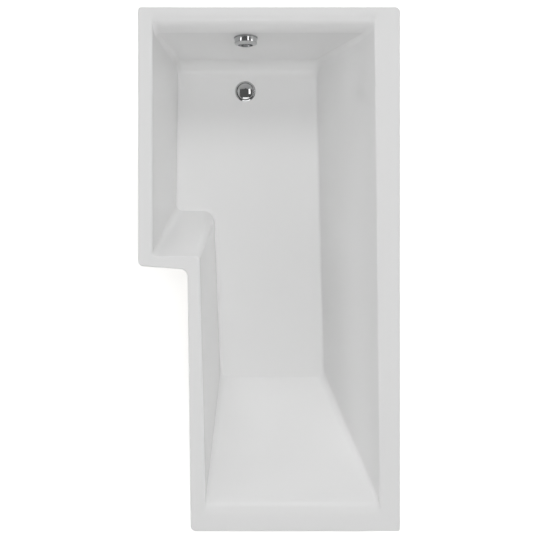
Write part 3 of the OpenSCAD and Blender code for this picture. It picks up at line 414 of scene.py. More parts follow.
def galvanised():
    """Zinc-coated sheet with the crystals of hot dipping."""
    made, tree, shader, where = nodes_of("galvanised_steel")
    shader.inputs["Metallic"].default_value = 0.9
    _, tones = cells(tree, where, scale=120)
    shade = tones["Green"]
    colour = ramp(tree, shade, (0.44, 0.46, 0.48), (0.62, 0.64, 0.66), start=0.0, end=1.0)
    tree.links.new(colour, shader.inputs["Base Color"])
    tree.links.new(spread(tree, shade, low=0.30, high=0.46), shader.inputs["Roughness"])
    bump(tree, shader, noise(tree, where, scale=300), depth=0.00008, edge=0.0012)
    return made


# Each plain finish: name, dark and light tone, their scale, roughness, its scale, relief, its scale
FINISH = {
    "acrylic": plain("acrylic", (0.872, 0.873, 0.872), (0.882, 0.883, 0.881), 3,
                     (0.05, 0.08), 18, 0.00001, 9, Specular_IOR_Level=0.42),
    "glass_fibre": glass_fibre(),
    "chipboard": chipboard(),
    "galvanised_steel": galvanised(),
    "zinc_steel": plain("zinc_steel", (0.52, 0.53, 0.54), (0.64, 0.65, 0.66), 40,
                        (0.22, 0.36), 90, 0.00005, 400, edge=0.0004, metal=1.0),
    "chrome": plain("chrome", (0.55, 0.555, 0.56), (0.60, 0.605, 0.61), 20,
                    (0.03, 0.07), 60, 0.00001, 60, edge=0.0004, metal=1.0),
    "white_plastic": plain("white_plastic", (0.74, 0.74, 0.72), (0.79, 0.79, 0.77), 15,
                           (0.34, 0.46), 120, 0.00006, 500, edge=0.0008),
    "hose_plastic": plain("hose_plastic", (0.66, 0.66, 0.65), (0.74, 0.74, 0.73), 25,
                          (0.38, 0.52), 90, 0.00008, 420),
    "black_plastic": plain("black_plastic", (0.018, 0.018, 0.019), (0.030, 0.030, 0.032), 30,
                           (0.38, 0.55), 150, 0.00008, 600, edge=0.0008),
    "cable_sheath": plain("cable_sheath", (0.020, 0.020, 0.021), (0.034, 0.034, 0.036), 60,
                          (0.30, 0.42), 200, 0.00004, 700),
    "rubber": plain("rubber", (0.012, 0.012, 0.013), (0.022, 0.022, 0.022), 60,
                    (0.62, 0.80), 200, 0.0001, 500, edge=0.0004),
}

# Every CAD node starts with the finish of its slot
for part in record["subparts"]:
    node = frame["nodes"][part["node"]]
    for place in node.material_slots:
        place.material = FINISH[part["material_slot"]]

# ---- The tub's shape ----


def wall_slope(profile):
    """Slope of a wall from the horizontal, tangent to the roll and reaching the floor's depth."""
    flat, roll, reach, _ = profile
    across, down = reach - flat, TUB_DEPTH - roll
    return math.atan2(down, across) + math.asin(roll / math.hypot(across, down))


def inset_at(depth, back, profile):
    """Distance in from the edge, at a depth below the rim, of the surface back behind the face."""
    _, roll, reach, fillet = profile
    slope = wall_slope(profile)
    fillet_x = reach + fillet * math.tan(slope / 2)
    fillet_r = fillet + back
    fillet_top = TUB_DEPTH - fillet + fillet_r * math.cos(slope)
    wall_x = fillet_x - fillet_r * math.sin(slope)
    roll_r = max(roll - back, LEAST_ROLL)
    roll_end = back + roll_r * (1 - math.cos(slope))
    roll_x = wall_x + (roll_end - fillet_top) / math.tan(slope) - roll_r * math.sin(slope)
    if depth <= roll_end:
        return roll_x + math.sqrt(max(0, roll_r ** 2 - (back + roll_r - depth) ** 2))
    if depth >= fillet_top:
        return fillet_x - math.sqrt(max(0, fillet_r ** 2 - (depth - TUB_DEPTH + fillet) ** 2))
    return wall_x + (depth - fillet_top) / math.tan(slope)


def corners(insets):
    """Where the edges meet once each is moved in, by its own distance at each end."""
    lines = []
    for i, (start_in, end_in) in enumerate(insets):
        start, end = OUTLINE[i], OUTLINE[(i + 1) % EDGES]
        inward = left_of((end - start).normalized())
        lines.append((start + inward * start_in, end + inward * end_in))
    found = []
    for i in range(EDGES):
        (a, b), (c, d) = lines[i - 1], lines[i]
        u, v = b - a, d - c
        found.append(a + u * (c - a).cross(v) / u.cross(v))
    return found


def rounded(points, radii):
    """An outline with an arc at each corner and a few points along each straight run."""
    arcs = []
    for i in range(EDGES):
        into = (points[i] - points[i - 1]).normalized()
        out = (points[(i + 1) % EDGES] - points[i]).normalized()
        side = 1 if into.cross(out) > 0 else -1
        turn = math.acos(max(-1, min(1, into.dot(out))))
        start = points[i] - into * radii[i] * math.tan(turn / 2)
        spoke = left_of(into) * side * radii[i]
        arc = []
        for k in range(ARC_STEPS + 1):
            a = side * turn * k / ARC_STEPS
            arc.append(start + spoke - Vector((spoke.x * math.cos(a) - spoke.y * math.sin(a),
                                               spoke.x * math.sin(a) + spoke.y * math.cos(a))))
        arcs.append(arc)
    outline = []
    for i, arc in enumerate(arcs):
        end, start = arc[-1], arcs[(i + 1) % EDGES][0]
        outline += arc + [end + (start - end) * share for share in RUN_SHARES]
    return outline


def grown(radii, back):
    """Radii back outside the tub's face; the step's inner corner turns the other way."""
    return [max(LEAST_CORNER, r + (-back if i == INNER_CORNER else back))
            for i, r in enumerate(radii)]


def ring(insets, radii, depth, share):
    """One level line of a surface; share is 0 at the rim and 1 at the sloping floor."""
    return [Vector((p.x, p.y, RIM_Z - depth - FLOOR_FALL * (p.y - WASTE_Y) * share))
            for p in rounded(corners(insets), radii)]


def quarter(steps):
    """Angles of a quarter turn in even steps."""
    return [math.pi / 2 * k / steps for k in range(steps + 1)]


def face_depths():
    """Depths of the rings on the tub's face: close together round each roll and floor radius."""
    rolls = [r * (1 - math.cos(a))
             for r in (SIDE_ROLL, HEAD_ROLL, PLUG_ROLL) for a in quarter(ROLL_STEPS)]
    floors = [TUB_DEPTH - r * (1 - math.cos(a))
              for r in (SIDE_FILLET, PLUG_FILLET) for a in quarter(ROLL_STEPS)]
    kept = []
    for depth in sorted(rolls + floors):
        if not kept or depth - kept[-1] > LEAST_STEP:
            kept.append(depth)
    kept[-1] = TUB_DEPTH
    return kept


def depth_behind(depth, back):
    """Depth on the surface back behind the face that belongs to a depth on the face."""
    if depth <= PLUG_ROLL:
        return back + depth * (PLUG_ROLL - back) / PLUG_ROLL
    if depth >= TUB_DEPTH - PLUG_FILLET:
        return TUB_DEPTH + back - (TUB_DEPTH - depth) * (PLUG_FILLET + back) / PLUG_FILLET
    return depth


def surface_rings(back):
    """Rings of one surface, from the rim to the floor, with support points at both ends."""
    rings = []
    depths = face_depths()
    for depth in depths:
        share = depth / TUB_DEPTH
        level = depth_behind(depth, back)
        radii = [top + (floor - top) * share for top, floor in zip(TOP_RADII, FLOOR_RADII)]
        radii = grown(radii, back)
        insets = [(inset_at(level, back, a), inset_at(level, back, b)) for a, b in PROFILES]
        if depth == depths[0]:
            nearer = [(a - SUPPORT, b - SUPPORT) for a, b in insets]
            rings.append(ring(nearer, radii, level, share))
        rings.append(ring(insets, radii, level, share))
        if depth == depths[-1]:
            farther = [(a + SUPPORT, b + SUPPORT) for a, b in insets]
            rings.append(ring(farther, radii, level, share))
    return rings


def lip_ring(inset, depth):
    """A ring that follows the rim's outer edge."""
    return ring([(inset, inset)] * EDGES, grown(OUTER_RADII, -inset), depth, 0)


AT_WASTE = Matrix.Translation((WASTE_X, WASTE_Y, 0))
FLOOR_AT_WASTE = RIM_Z - TUB_DEPTH
RECESS_DEPTH, BOSS_WALL = 0.0022, 0.009
RECESS_Z = FLOOR_AT_WASTE - RECESS_DEPTH
BOSS_Z = RECESS_Z - BOSS_WALL
RECESS_R, BOSS_R, DRAIN_R, OVERFLOW_R, FITTING_HOLE_R = 0.037, 0.044, 0.026, 0.026, 0.050
TALL = 0.060          # length of a cutter that only has to pass a wall


def plug_wall(depth):
    """(y, z) of the shower end wall at a depth."""
    y = HALF_L - inset_at(depth, 0, PROFILES[PLUG_EDGE][0])
    return Vector((y, RIM_Z - depth - FLOOR_FALL * (y - WASTE_Y) * depth / TUB_DEPTH))


WALL_TOP, WALL_FOOT = plug_wall(PLUG_ROLL), plug_wall(TUB_DEPTH - PLUG_FILLET)
WALL_TILT = math.atan2(WALL_TOP.x - WALL_FOOT.x, WALL_TOP.y - WALL_FOOT.y)
OVERFLOW_X, OVERFLOW_DEPTH = -0.077, 0.100
OVERFLOW_YZ = WALL_TOP + (WALL_FOOT - WALL_TOP) * (OVERFLOW_DEPTH - PLUG_ROLL) / (
    TUB_DEPTH - PLUG_FILLET - PLUG_ROLL)
# +Z of this place points out of the wall into the tub, and -Y down the wall
AT_OVERFLOW = (Matrix.Translation((OVERFLOW_X, *OVERFLOW_YZ))
               @ Matrix.Rotation(math.radians(90) - WALL_TILT, 4, "X"))


def shell():
    """The acrylic sheet: face, rim, hanging lip and back, with its holes for the two fittings."""
    rings = list(reversed(surface_rings(0)))
    rings.append(lip_ring(RIM_EDGE + SUPPORT, 0))
    rings += [lip_ring(RIM_EDGE * (1 - math.sin(a)), RIM_EDGE * (1 - math.cos(a)))
              for a in quarter(LIP_STEPS)]
    soft = LIP_WALL / 5
    rings += [lip_ring(0, RIM_EDGE + SUPPORT), lip_ring(0, LIP_DEPTH - 2 * soft),
              lip_ring(0, LIP_DEPTH - soft), lip_ring(soft, LIP_DEPTH),
              lip_ring(LIP_WALL - soft, LIP_DEPTH), lip_ring(LIP_WALL, LIP_DEPTH - soft),
              lip_ring(LIP_WALL, SHELL_WALL)]
    rings += surface_rings(SHELL_WALL)
    piece = loft("tub", rings)
    boss_top = FLOOR_AT_WASTE - SHELL_WALL / 2
    cut(piece, cylinder("boss", BOSS_R, BOSS_Z, boss_top, AT_WASTE), "UNION")
    cut(piece, cylinder("recess", RECESS_R, RECESS_Z, RECESS_Z + TALL, AT_WASTE))
    cut(piece, cylinder("drain", DRAIN_R, RECESS_Z - TALL, RECESS_Z + TALL, AT_WASTE))
    cut(piece, cylinder("overflow_hole", OVERFLOW_R, -TALL / 2, TALL / 2, AT_OVERFLOW))
    even_shading(piece)
    dress(piece, "bath", "acrylic", "bath_shell")


def backing():
    """The glass-fibre layer behind the acrylic."""
    edge_in = LIP_WALL + REST_GAP
    rings = list(reversed(surface_rings(BACKING_FACE)))
    rings += [lip_ring(edge_in, BACKING_FACE), lip_ring(edge_in, BACKING_BACK)]
    rings += surface_rings(BACKING_BACK)
    piece = loft("glass_fibre_layer", rings)
    cut(piece, cylinder("hole", FITTING_HOLE_R, FLOOR_AT_WASTE - TALL, FLOOR_AT_WASTE, AT_WASTE))
    cut(piece, cylinder("hole", FITTING_HOLE_R, -TALL / 2, TALL / 2, AT_OVERFLOW))
    even_shading(piece)
    dress(piece, "bath", "glass_fibre", "glass_fibre_backing")


# ---- Chrome fittings ----

PLUG_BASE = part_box("waste_plug")[0].z
PLUG_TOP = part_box("waste_plug")[1].z
PLUG_R = 0.0285
FLANGE_R, FLANGE_TOP = 0.036, PLUG_BASE - REST_GAP
FLANGE_EDGE_H, FLANGE_CROWN, MOUTH_IN, MOUTH_DISH = 0.0012, 0.0026, 0.001, 0.003
SPIGOT_R, SPIGOT_WALL, SPIGOT_LEN = 0.0255, 0.0035, 0.015
HUB_R, HUB_H, HUB_DROP, STEM_BORE = 0.007, 0.005, 0.009, 0.00355
SPOKE_W, SPOKE_SUNK = 0.004, 0.001


def cap(radius, low, high, steps=28):
    """Points of a shallow cap, from inside its edge to its middle."""
    shares = (1 - k / steps for k in range(1, steps + 1))
    return [(radius * share, low + (high - low) * (1 - share ** 2)) for share in shares]


def waste_plug():
    """Domed plug: a shallow cap that rounds over at its rim."""
    edge, rim_share, under = 0.0014, 0.30, 0.0004
    foot = PLUG_BASE + (PLUG_TOP - PLUG_BASE) * rim_share
    dome = cap(PLUG_R - edge, foot, PLUG_TOP)
    profile = rounded_profile(
        [(0, PLUG_BASE), (PLUG_R, PLUG_BASE), (PLUG_R, foot - edge), (PLUG_R - edge, foot)] + dome,
        [0, under, edge, edge] + [0] * len(dome), steps=6)
    piece = lathe("plug_dome", profile, AT_WASTE, sides=128)
    dress(piece, "plug", "chrome", "waste_plug")


def waste_flange():
    """Flange with a rounded edge and a dished mouth, its spigot, and the spoked hub below."""
    low, bore = RECESS_Z - SPIGOT_LEN, SPIGOT_R - SPIGOT_WALL
    profile = rounded_profile(
        [(bore, low), (SPIGOT_R, low), (SPIGOT_R, RECESS_Z), (FLANGE_R, RECESS_Z),
         (FLANGE_R, RECESS_Z + FLANGE_EDGE_H), (PLUG_R + FLANGE_CROWN, FLANGE_TOP),
         (PLUG_R - MOUTH_IN, FLANGE_TOP), (bore, FLANGE_TOP - MOUTH_DISH)],
        [0, 0.0004, 0, 0.0004, 0.0006, 0.006, 0.0008, 0.0012], steps=7)
    piece = lathe("waste_ring", profile, AT_WASTE, sides=128)
    hub_top = RECESS_Z - HUB_DROP
    hub_foot = hub_top - HUB_H
    hub = lathe("hub", [(STEM_BORE, hub_foot), (HUB_R, hub_foot), (HUB_R, hub_top),
                        (STEM_BORE, hub_top)], AT_WASTE, sides=48)
    start, end = HUB_R - SPOKE_SUNK, SPIGOT_R - SPIGOT_WALL / 2
    middle = Matrix.Translation(((start + end) / 2, 0, hub_top - HUB_H / 2))
    for k in range(4):
        turn = turned_by(45 + 90 * k, "Z")
        block(hub, AT_WASTE @ turn @ middle, (end - start, SPOKE_W, HUB_H))
    join(piece, hub)
    dress(piece, "bath", "chrome", "waste_flange")


KNOB_R, KNOB_REACH, KNOB_WALL, KNOB_BORE = 0.037, 0.023, 0.003, 0.0042
RING_T = 0.003
KNOB_BACK = RING_T + REST_GAP


def overflow_knob():
    """Round knob, slightly tapered, with a bevelled face edge and a gently crowned face."""
    taper, bevel, hub, crown = 0.001, 0.0012, 0.008, 0.0014
    face_edge = KNOB_REACH - crown
    face = cap(KNOB_R - bevel, face_edge, KNOB_REACH)
    profile = rounded_profile(
        [(0, face_edge - KNOB_WALL), (KNOB_R - KNOB_WALL, face_edge - KNOB_WALL),
         (KNOB_R + taper - KNOB_WALL, KNOB_BACK), (KNOB_R + taper, KNOB_BACK),
         (KNOB_R, face_edge - bevel), (KNOB_R - bevel, face_edge)] + face,
        [0, 0.001, 0.0006, 0.0006, 0.0009, 0.0009] + [0] * len(face), steps=6)
    piece = lathe("knob_cap", profile, AT_OVERFLOW, sides=128)
    hub_top = KNOB_REACH - KNOB_WALL / 2
    inner = lathe("hub", [(KNOB_BORE, KNOB_BACK), (hub, KNOB_BACK), (hub, hub_top),
                          (KNOB_BORE, hub_top)], AT_OVERFLOW, sides=48)
    join(piece, inner)
    dress(piece, "knob", "chrome", "overflow_knob")


# ---- Hose and cable ----

# The waste cup, and where the hose and the cable enter it
CUP_R, CUP_WALL, CUP_TOP, CUP_H, CUP_RIM_H = 0.031, 0.004, 0.1408, 0.052, 0.005
PORT_BORE, PORT_LEN, PORT_Z = 0.013, 0.020, 0.1108
CABLE_PORT_Z = 0.1088
# The overflow body behind the wall, and how far its ports' middle lies in front of its back
OVERFLOW_BODY_R, OVERFLOW_PORT_LEN, OVERFLOW_BACK, PORT_RISE = 0.038, 0.016, 0.0481, 0.0175
OVERFLOW_PORT_Z = PORT_RISE - OVERFLOW_BACK

HOSE_ROOT, HOSE_RIB, HOSE_BORE, HOSE_RIBS = 0.014, 0.016, 0.012, 46
HOSE_SIDES, RIB_STEPS, RIB_ROUNDNESS = 36, 8, 0.6
HOSE_LEAD, HOSE_BEND, LEAD_SHARE = 2 * HOSE_RIB, 0.110, 0.12
DOWN_WALL = Vector((0, -math.sin(WALL_TILT), -math.cos(WALL_TILT)))
TO_WASTE = Vector((0, -1, 0))
ACROSS = Vector((1, 0, 0))
HOSE_TOP = AT_OVERFLOW @ Vector((0, -(OVERFLOW_BODY_R + OVERFLOW_PORT_LEN), OVERFLOW_PORT_Z))
HOSE_END = Vector((WASTE_X, WASTE_Y + CUP_R + PORT_LEN, PORT_Z))


def hose_point(u):
    """Point on the hose's middle line, from 0 at the overflow to 1 at the waste."""
    if u < LEAD_SHARE:
        return HOSE_TOP + DOWN_WALL * HOSE_LEAD * u / LEAD_SHARE
    if u > 1 - LEAD_SHARE:
        return HOSE_END - TO_WASTE * HOSE_LEAD * (1 - u) / LEAD_SHARE
    v = (u - LEAD_SHARE) / (1 - 2 * LEAD_SHARE)
    a, b = HOSE_TOP + DOWN_WALL * HOSE_LEAD, HOSE_END - TO_WASTE * HOSE_LEAD
    return (a * (1 - v) ** 3 + (a + DOWN_WALL * HOSE_BEND) * 3 * v * (1 - v) ** 2
            + (b - TO_WASTE * HOSE_BEND) * 3 * v * v * (1 - v) + b * v ** 3)


def tube_ring(point, along, side, radius, sides):
    """A circle of points round a point, square to the way along."""
    a = along.cross(side).normalized()
    b = along.cross(a)
    return [point + a * radius * math.cos(t) + b * radius * math.sin(t)
            for t in (2 * math.pi * k / sides for k in range(sides))]


def hose():
    """Ribbed outside with rounded ribs, and a smooth bore."""
    steps = HOSE_RIBS * RIB_STEPS
    near = 0.01
    outside, bore = [], []
    for j in range(steps + 1):
        u = j / steps
        along = (hose_point(min(1, u + near)) - hose_point(max(0, u - near))).normalized()
        swell = 0.5 - 0.5 * math.cos(2 * math.pi * j / RIB_STEPS)
        radius = HOSE_ROOT + (HOSE_RIB - HOSE_ROOT) * swell ** RIB_ROUNDNESS
        outside.append(tube_ring(hose_point(u), along, ACROSS, radius, HOSE_SIDES))
        if j % RIB_STEPS == 0:
            bore.append(tube_ring(hose_point(u), along, ACROSS, HOSE_BORE, HOSE_SIDES))
    piece = loft("ribbed_hose", outside + list(reversed(bore)), sharp=60, closed=True)
    dress(piece, "bath", "hose_plastic", "overflow_hose")


CABLE_R, GLAND_LEN = 0.003, 0.012
CABLE_TOP = AT_OVERFLOW @ Vector((OVERFLOW_BODY_R + GLAND_LEN, 0, OVERFLOW_PORT_Z))
CABLE_END = Vector((WASTE_X + CUP_R + GLAND_LEN, WASTE_Y, CABLE_PORT_Z))
STEPS_FROM_TOP = ((0, 0, 0), (0.006, 0, 0), (0.027, -0.001, -0.008), (0.043, -0.005, -0.036),
                  (0.047, -0.013, -0.096), (0.047, -0.025, -0.166), (0.049, -0.037, -0.236))
STEPS_FROM_END = ((0.067, 0.116, 0.056), (0.071, 0.086, 0.019), (0.069, 0.052, 0.003),
                  (0.057, 0.020, -0.001), (0.0192, 0.0042, -0.0004), (0.006, 0, 0), (0, 0, 0))
CABLE_SIDE = Vector((-0.5, 1, 0.4))


def smooth_point(points, u):
    """Point on a smooth curve through the points; u runs from 0 to the number of spans."""
    last = len(points) - 1
    i = min(int(u), last - 1)
    f = u - i
    a, b, c, d = points[max(i - 1, 0)], points[i], points[i + 1], points[min(i + 2, last)]
    return (2 * b + (c - a) * f + (2 * a - 5 * b + 4 * c - d) * f * f
            + (3 * b - a - 3 * c + d) * f ** 3) / 2


def cable():
    """The knob's cable in its sheath, from gland to gland."""
    points = [CABLE_TOP + Vector(p) for p in STEPS_FROM_TOP]
    points += [CABLE_END + Vector(p) for p in STEPS_FROM_END]
    spans, steps, near, sides = len(points) - 1, 240, 0.02, 20
    rings = []
    for j in range(steps + 1):
        u = spans * j / steps
        if 0 < u < spans:
            ahead, behind = min(spans, u + near), max(0, u - near)
            along = smooth_point(points, ahead) - smooth_point(points, behind)
        else:
            along = points[1] - points[0] if u == 0 else points[-1] - points[-2]
        centre = smooth_point(points, u)
        rings.append(tube_ring(centre, along.normalized(), CABLE_SIDE, CABLE_R, sides))
    dress(loft("cable_run", rings), "bath", "cable_sheath", "control_cable")


# ---- Legs ----

THREAD_SIDES = 20
RIDGE = 0.46          # half of a ridge's foot, as a share of the pitch
STUD_THREAD, STUD_SUNK, STUD_PITCH, STUD_TIP, STUD_CHAMFER = 0.0011, 0.00005, 0.00175, 0.004, 0.0008
SLOT_W, SLOT_DEPTH = 0.002, 0.003
FOOT_NECK, FOOT_BEVEL = 0.011, 0.004


def thread(radius, root, pitch, low, high, place):
    """A screw thread: a closed ridge with a crest and two roots that winds up the axis."""
    turns = (high - low) / pitch - 1
    rings = []
    for k in range(int(turns * THREAD_SIDES) + 1):
        a = 2 * math.pi * k / THREAD_SIDES
        middle = low + pitch * (0.5 + k / THREAD_SIDES)
        rings.append([place @ Vector((r * math.cos(a), r * math.sin(a), middle + rise))
                      for r, rise in ((radius, 0), (root, pitch * RIDGE), (root, -pitch * RIDGE))])
    return loft("thread", rings, sharp=30)


def middle_of(name):
    """Middle of a node's box."""
    low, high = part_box(name)
    return (low + high) / 2


def leg(i):
    """Threaded stud with a slotted tip, and its turned foot."""
    node, foot = f"leg_stud_{i}", f"foot_{i}"
    low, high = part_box(node)
    at = Matrix.Translation((middle_of(node).x, middle_of(node).y, 0))
    radius = (high.x - low.x) / 2
    core = radius - STUD_THREAD
    stud = lathe(f"threaded_stud_{i}",
                 [(0, low.z), (core, low.z), (core, high.z - STUD_CHAMFER),
                  (core - STUD_CHAMFER, high.z), (0, high.z)], at, sides=32)
    slot = link("slot", bpy.data.meshes.new("slot"))
    block(slot, at @ Matrix.Translation((0, 0, high.z)), (4 * radius, SLOT_W, 2 * SLOT_DEPTH))
    cut(stud, slot)
    foot_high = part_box(foot)[1]
    join(stud, thread(radius, core - STUD_SUNK, STUD_PITCH, foot_high.z, high.z - STUD_TIP, at))
    even_shading(stud, sharp=30)
    dress(stud, f"leg_{i}", "zinc_steel", node)

    out, pad, height = foot_high.x - at.translation.x, low.z, foot_high.z
    profile = rounded_profile(
        [(0, 0), (out, 0), (out, pad - FOOT_BEVEL), (out - FOOT_BEVEL, pad), (FOOT_NECK, pad),
         (FOOT_NECK, height), (radius, height), (radius, pad), (0, pad)],
        [0, 0.0012, 0.002, 0.002, 0.004, 0.0015, 0.0005, 0, 0])
    turned = lathe(f"turned_foot_{i}", profile, at, sides=64)
    dress(turned, f"leg_{i}", "black_plastic", foot)


NUT_FLATS, NUT_H, NUT_BORE = 0.019, 0.010, 0.00605
NUT_SIDES, NUT_RINGS = 48, 6
NUT_FACE, CHAMFER_SLOPE = 0.98, math.tan(math.radians(30))
CHANNEL_WALL = 0.002
# The channel that each stud passes
LEG_CHANNELS = ("cradle_plug_end", "cradle_plug_end", "step_bar", "cradle_head_end",
                "cradle_head_end")


def nut_rings(place):
    """Rings of one hexagon nut with turned chamfers on both faces."""
    rings = [[] for _ in range(NUT_RINGS)]
    face_r = NUT_FLATS / 2 * NUT_FACE
    for k in range(NUT_SIDES):
        a = 2 * math.pi * k / NUT_SIDES
        corner = NUT_FLATS / 2 / math.cos((a % (math.pi / 3)) - math.pi / 6)
        drop = (corner - face_r) * CHAMFER_SLOPE
        section = ((NUT_BORE, 0), (face_r, 0), (corner, drop), (corner, NUT_H - drop),
                   (face_r, NUT_H), (NUT_BORE, NUT_H))
        for points, (radius, rise) in zip(rings, section):
            points.append(place @ Vector((radius * math.cos(a), radius * math.sin(a), rise)))
    return rings


def leg_nuts():
    """Two locking nuts on each stud, above and below its channel's web."""
    points, faces = [], []
    for i, channel in enumerate(LEG_CHANNELS, 1):
        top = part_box(channel)[1].z
        at = middle_of(f"leg_stud_{i}")
        for rise in (top, top - CHANNEL_WALL - NUT_H):
            start = len(points)
            for nut_ring in nut_rings(Matrix.Translation((at.x, at.y, rise))):
                points += nut_ring
            quads = ring_faces(NUT_RINGS, NUT_SIDES, closed=True)
            faces += [tuple(start + j for j in quad) for quad in quads]
    piece = link("locking_nuts", mesh_of("locking_nuts", points, faces, sharp=20))
    dress(piece, "bath", "zinc_steel", "leg_nuts")


# ---- Waste cup ----

OUTLET_R, OUTLET_LEN, OUTLET_PITCH, OUTLET_THREAD = 0.0239, 0.022, 0.00231, 0.0012
CABLE_ROOM = 0.00005


def waste_cup():
    """Moulded cup with a rounded rim, a threaded outlet, a side port and the pin's seats."""
    low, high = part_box("waste_body")
    rim = (high.x - low.x) / 2
    foot, bore = CUP_TOP - CUP_H, CUP_R - CUP_WALL
    root, outlet_bore = OUTLET_R - OUTLET_THREAD, OUTLET_R - CUP_WALL
    outlet_foot = foot - OUTLET_LEN
    profile = [(outlet_bore, outlet_foot), (root, outlet_foot)]
    for k in range(int(OUTLET_LEN / OUTLET_PITCH)):
        rise = outlet_foot + OUTLET_PITCH * k
        profile += [(OUTLET_R, rise + OUTLET_PITCH / 2), (root, rise + OUTLET_PITCH)]
    profile += rounded_profile(
        [(root, foot), (CUP_R, foot), (CUP_R, CUP_TOP - CUP_RIM_H), (rim, CUP_TOP - CUP_RIM_H),
         (rim, CUP_TOP), (bore, CUP_TOP), (bore, foot + CUP_WALL), (outlet_bore, foot + CUP_WALL)],
        [0, 0.002, 0.003, 0.001, 0.0006, 0.0004, 0.002, 0])
    piece = lathe("cup", profile, AT_WASTE)
    at_port = AT_WASTE @ Matrix.Translation((0, 0, PORT_Z)) @ turned_by(-90, "X")
    reach = CUP_R + PORT_LEN
    cut(piece, cylinder("port", PORT_BORE + CUP_WALL, bore, reach, at_port, sides=64), "UNION")
    cut(piece, cylinder("bore", PORT_BORE, bore / 2, reach + CUP_WALL, at_port, sides=64))
    pin_low, pin_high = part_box("lever_pin")
    pin_r, half = (pin_high.z - pin_low.z) / 2, (pin_high.y - pin_low.y) / 2
    at_pin = Matrix.Translation(middle_of("lever_pin")) @ turned_by(90, "X")
    cut(piece, cylinder("pin_seats", pin_r, -half, half, at_pin, sides=32))
    at_cable = Matrix.Translation((WASTE_X, WASTE_Y, CABLE_PORT_Z)) @ turned_by(90, "Y")
    entry_r, outside = CABLE_R + CABLE_ROOM, CUP_R + CUP_WALL
    cut(piece, cylinder("cable_entry", entry_r, bore / 2, outside, at_cable, sides=32))
    even_shading(piece, sharp=40)
    dress(piece, "bath", "white_plastic", "waste_body")


# ---- Bars and sheet metal ----

# Nodes whose long edges are rounded: start of the name, new name, radius
ROUNDED_NODES = (("rim_batten_", "batten_", 0.0015),
                 ("cradle_head_end", "channel_head_end", 0.0007),
                 ("cradle_plug_end", "channel_plug_end", 0.0007),
                 ("step_bar", "channel_step", 0.0007), ("wall_bracket_", "bracket_", 0.0004),
                 ("base_board", "board", 0.0012))
LONG_EDGE, FLAT_ANGLE, EDGE_ANGLE = 0.012, math.radians(1), math.radians(30)


def soften(part, name, radius):
    """A CAD node's own shape with its long edges rounded."""
    node = frame["nodes"][part["node"]]
    box = bmesh.new()
    box.from_mesh(node.data)
    box.transform(node.matrix_world)
    bmesh.ops.remove_doubles(box, verts=box.verts, dist=TINY)
    bmesh.ops.dissolve_limit(box, angle_limit=FLAT_ANGLE, verts=box.verts, edges=box.edges)
    edges = [e for e in box.edges if len(e.link_faces) == 2 and e.calc_length() > LONG_EDGE
             and e.calc_face_angle() > EDGE_ANGLE]
    bmesh.ops.bevel(box, geom=edges, offset=radius, segments=3, profile=0.5, affect="EDGES",
                    clamp_overlap=True)
    mesh = bpy.data.meshes.new(name)
    box.to_mesh(mesh)
    box.free()
    piece = link(name, mesh)
    even_shading(piece)
    dress(piece, "bath", part["material_slot"], part["node"])


def bars():
    """Battens, board, channels and brackets, softened."""
    bpy.context.view_layer.update()
    for part in record["subparts"]:
        for start, new, radius in ROUNDED_NODES:
            if part["node"].startswith(start):
                soften(part, part["node"].replace(start, new), radius)


shell()
backing()
bars()
waste_plug()
waste_flange()
overflow_knob()
hose()
cable()
for number_of_leg in range(1, 6):
    leg(number_of_leg)
leg_nuts()
waste_cup()

# ---- Light, floor and camera ----

PHOTO_PX = 540
PX_M = 0.00324        # the photograph's scale at the rim
CAMERA_RISE = 4.5
CAMERA_X, CAMERA_Y = 0.0031, -0.00275
SENSOR = 36.0

# Soft lamps: name, place, side length, power in watts. All look at the middle of the bath.
LAMPS = (
    ("panel", (0.6, 0.3, 8.0), 3.5, 190.0),
    ("key", (1.5, 7.5, 9.0), 3.0, 238.0),
    ("left", (-9.0, 0.2, 4.6), 3.5, 145.0),
    ("right", (9.0, 0.2, 4.6), 3.5, 42.0),
    ("foot", (0.3, -9.0, 4.5), 3.0, 112.0),
    ("glint", (-2.5, 11.0, 4.0), 2.5, 178.0),
)
LAMP_TARGET = Vector((0, 0, 0.3))
SKY = 1.0             # strength of the room's light
# The room round the bath, in bands along Y: degrees from straight up towards the room's wall, level
SKY_BANDS = ((-180, 0.35), (-90, 0.35), (-80, 0.2), (-66, 0.2), (-30, 0.14), (14, 0.13),
             (34, 0.14), (50, 0.34), (66, 0.4), (78, 0.3), (90, 0.35), (180, 0.35))
# Windows that only gloss shows: degrees from straight up towards the room's wall, half width,
# degrees towards the shower end, half height, level
WINDOWS = ((0, 60, 44, 5, 1.4), (4, 22, -38, 8, 1.8), (25, 4.5, 12, 22, 3.0),
           (-52, 7, 16, 34, 2.6), (68, 8, 10, 50, 2.2))
FLOOR_HALF, FLOOR_TONE, FLOOR_LIFT = 9.0, 0.86, 0.6


def area_light(name, place, side, power):
    """A soft square lamp that looks at the bath and that camera and gloss don't see."""
    lamp = bpy.data.lights.new(name, "AREA")
    lamp.shape = "RECTANGLE"
    lamp.size = lamp.size_y = side
    lamp.energy = power
    made = link(name, lamp)
    made.location = place
    made.rotation_euler = (LAMP_TARGET - Vector(place)).to_track_quat("-Z", "Y").to_euler()
    made.visible_camera = False
    made.visible_glossy = False


def seen(tree):
    """1 for camera, glossy and transmission rays."""
    rays = tree.nodes.new("ShaderNodeLightPath").outputs
    total = number(tree, "MAXIMUM", rays["Is Camera Ray"], rays["Is Glossy Ray"])
    return number(tree, "MAXIMUM", total, rays["Is Transmission Ray"])


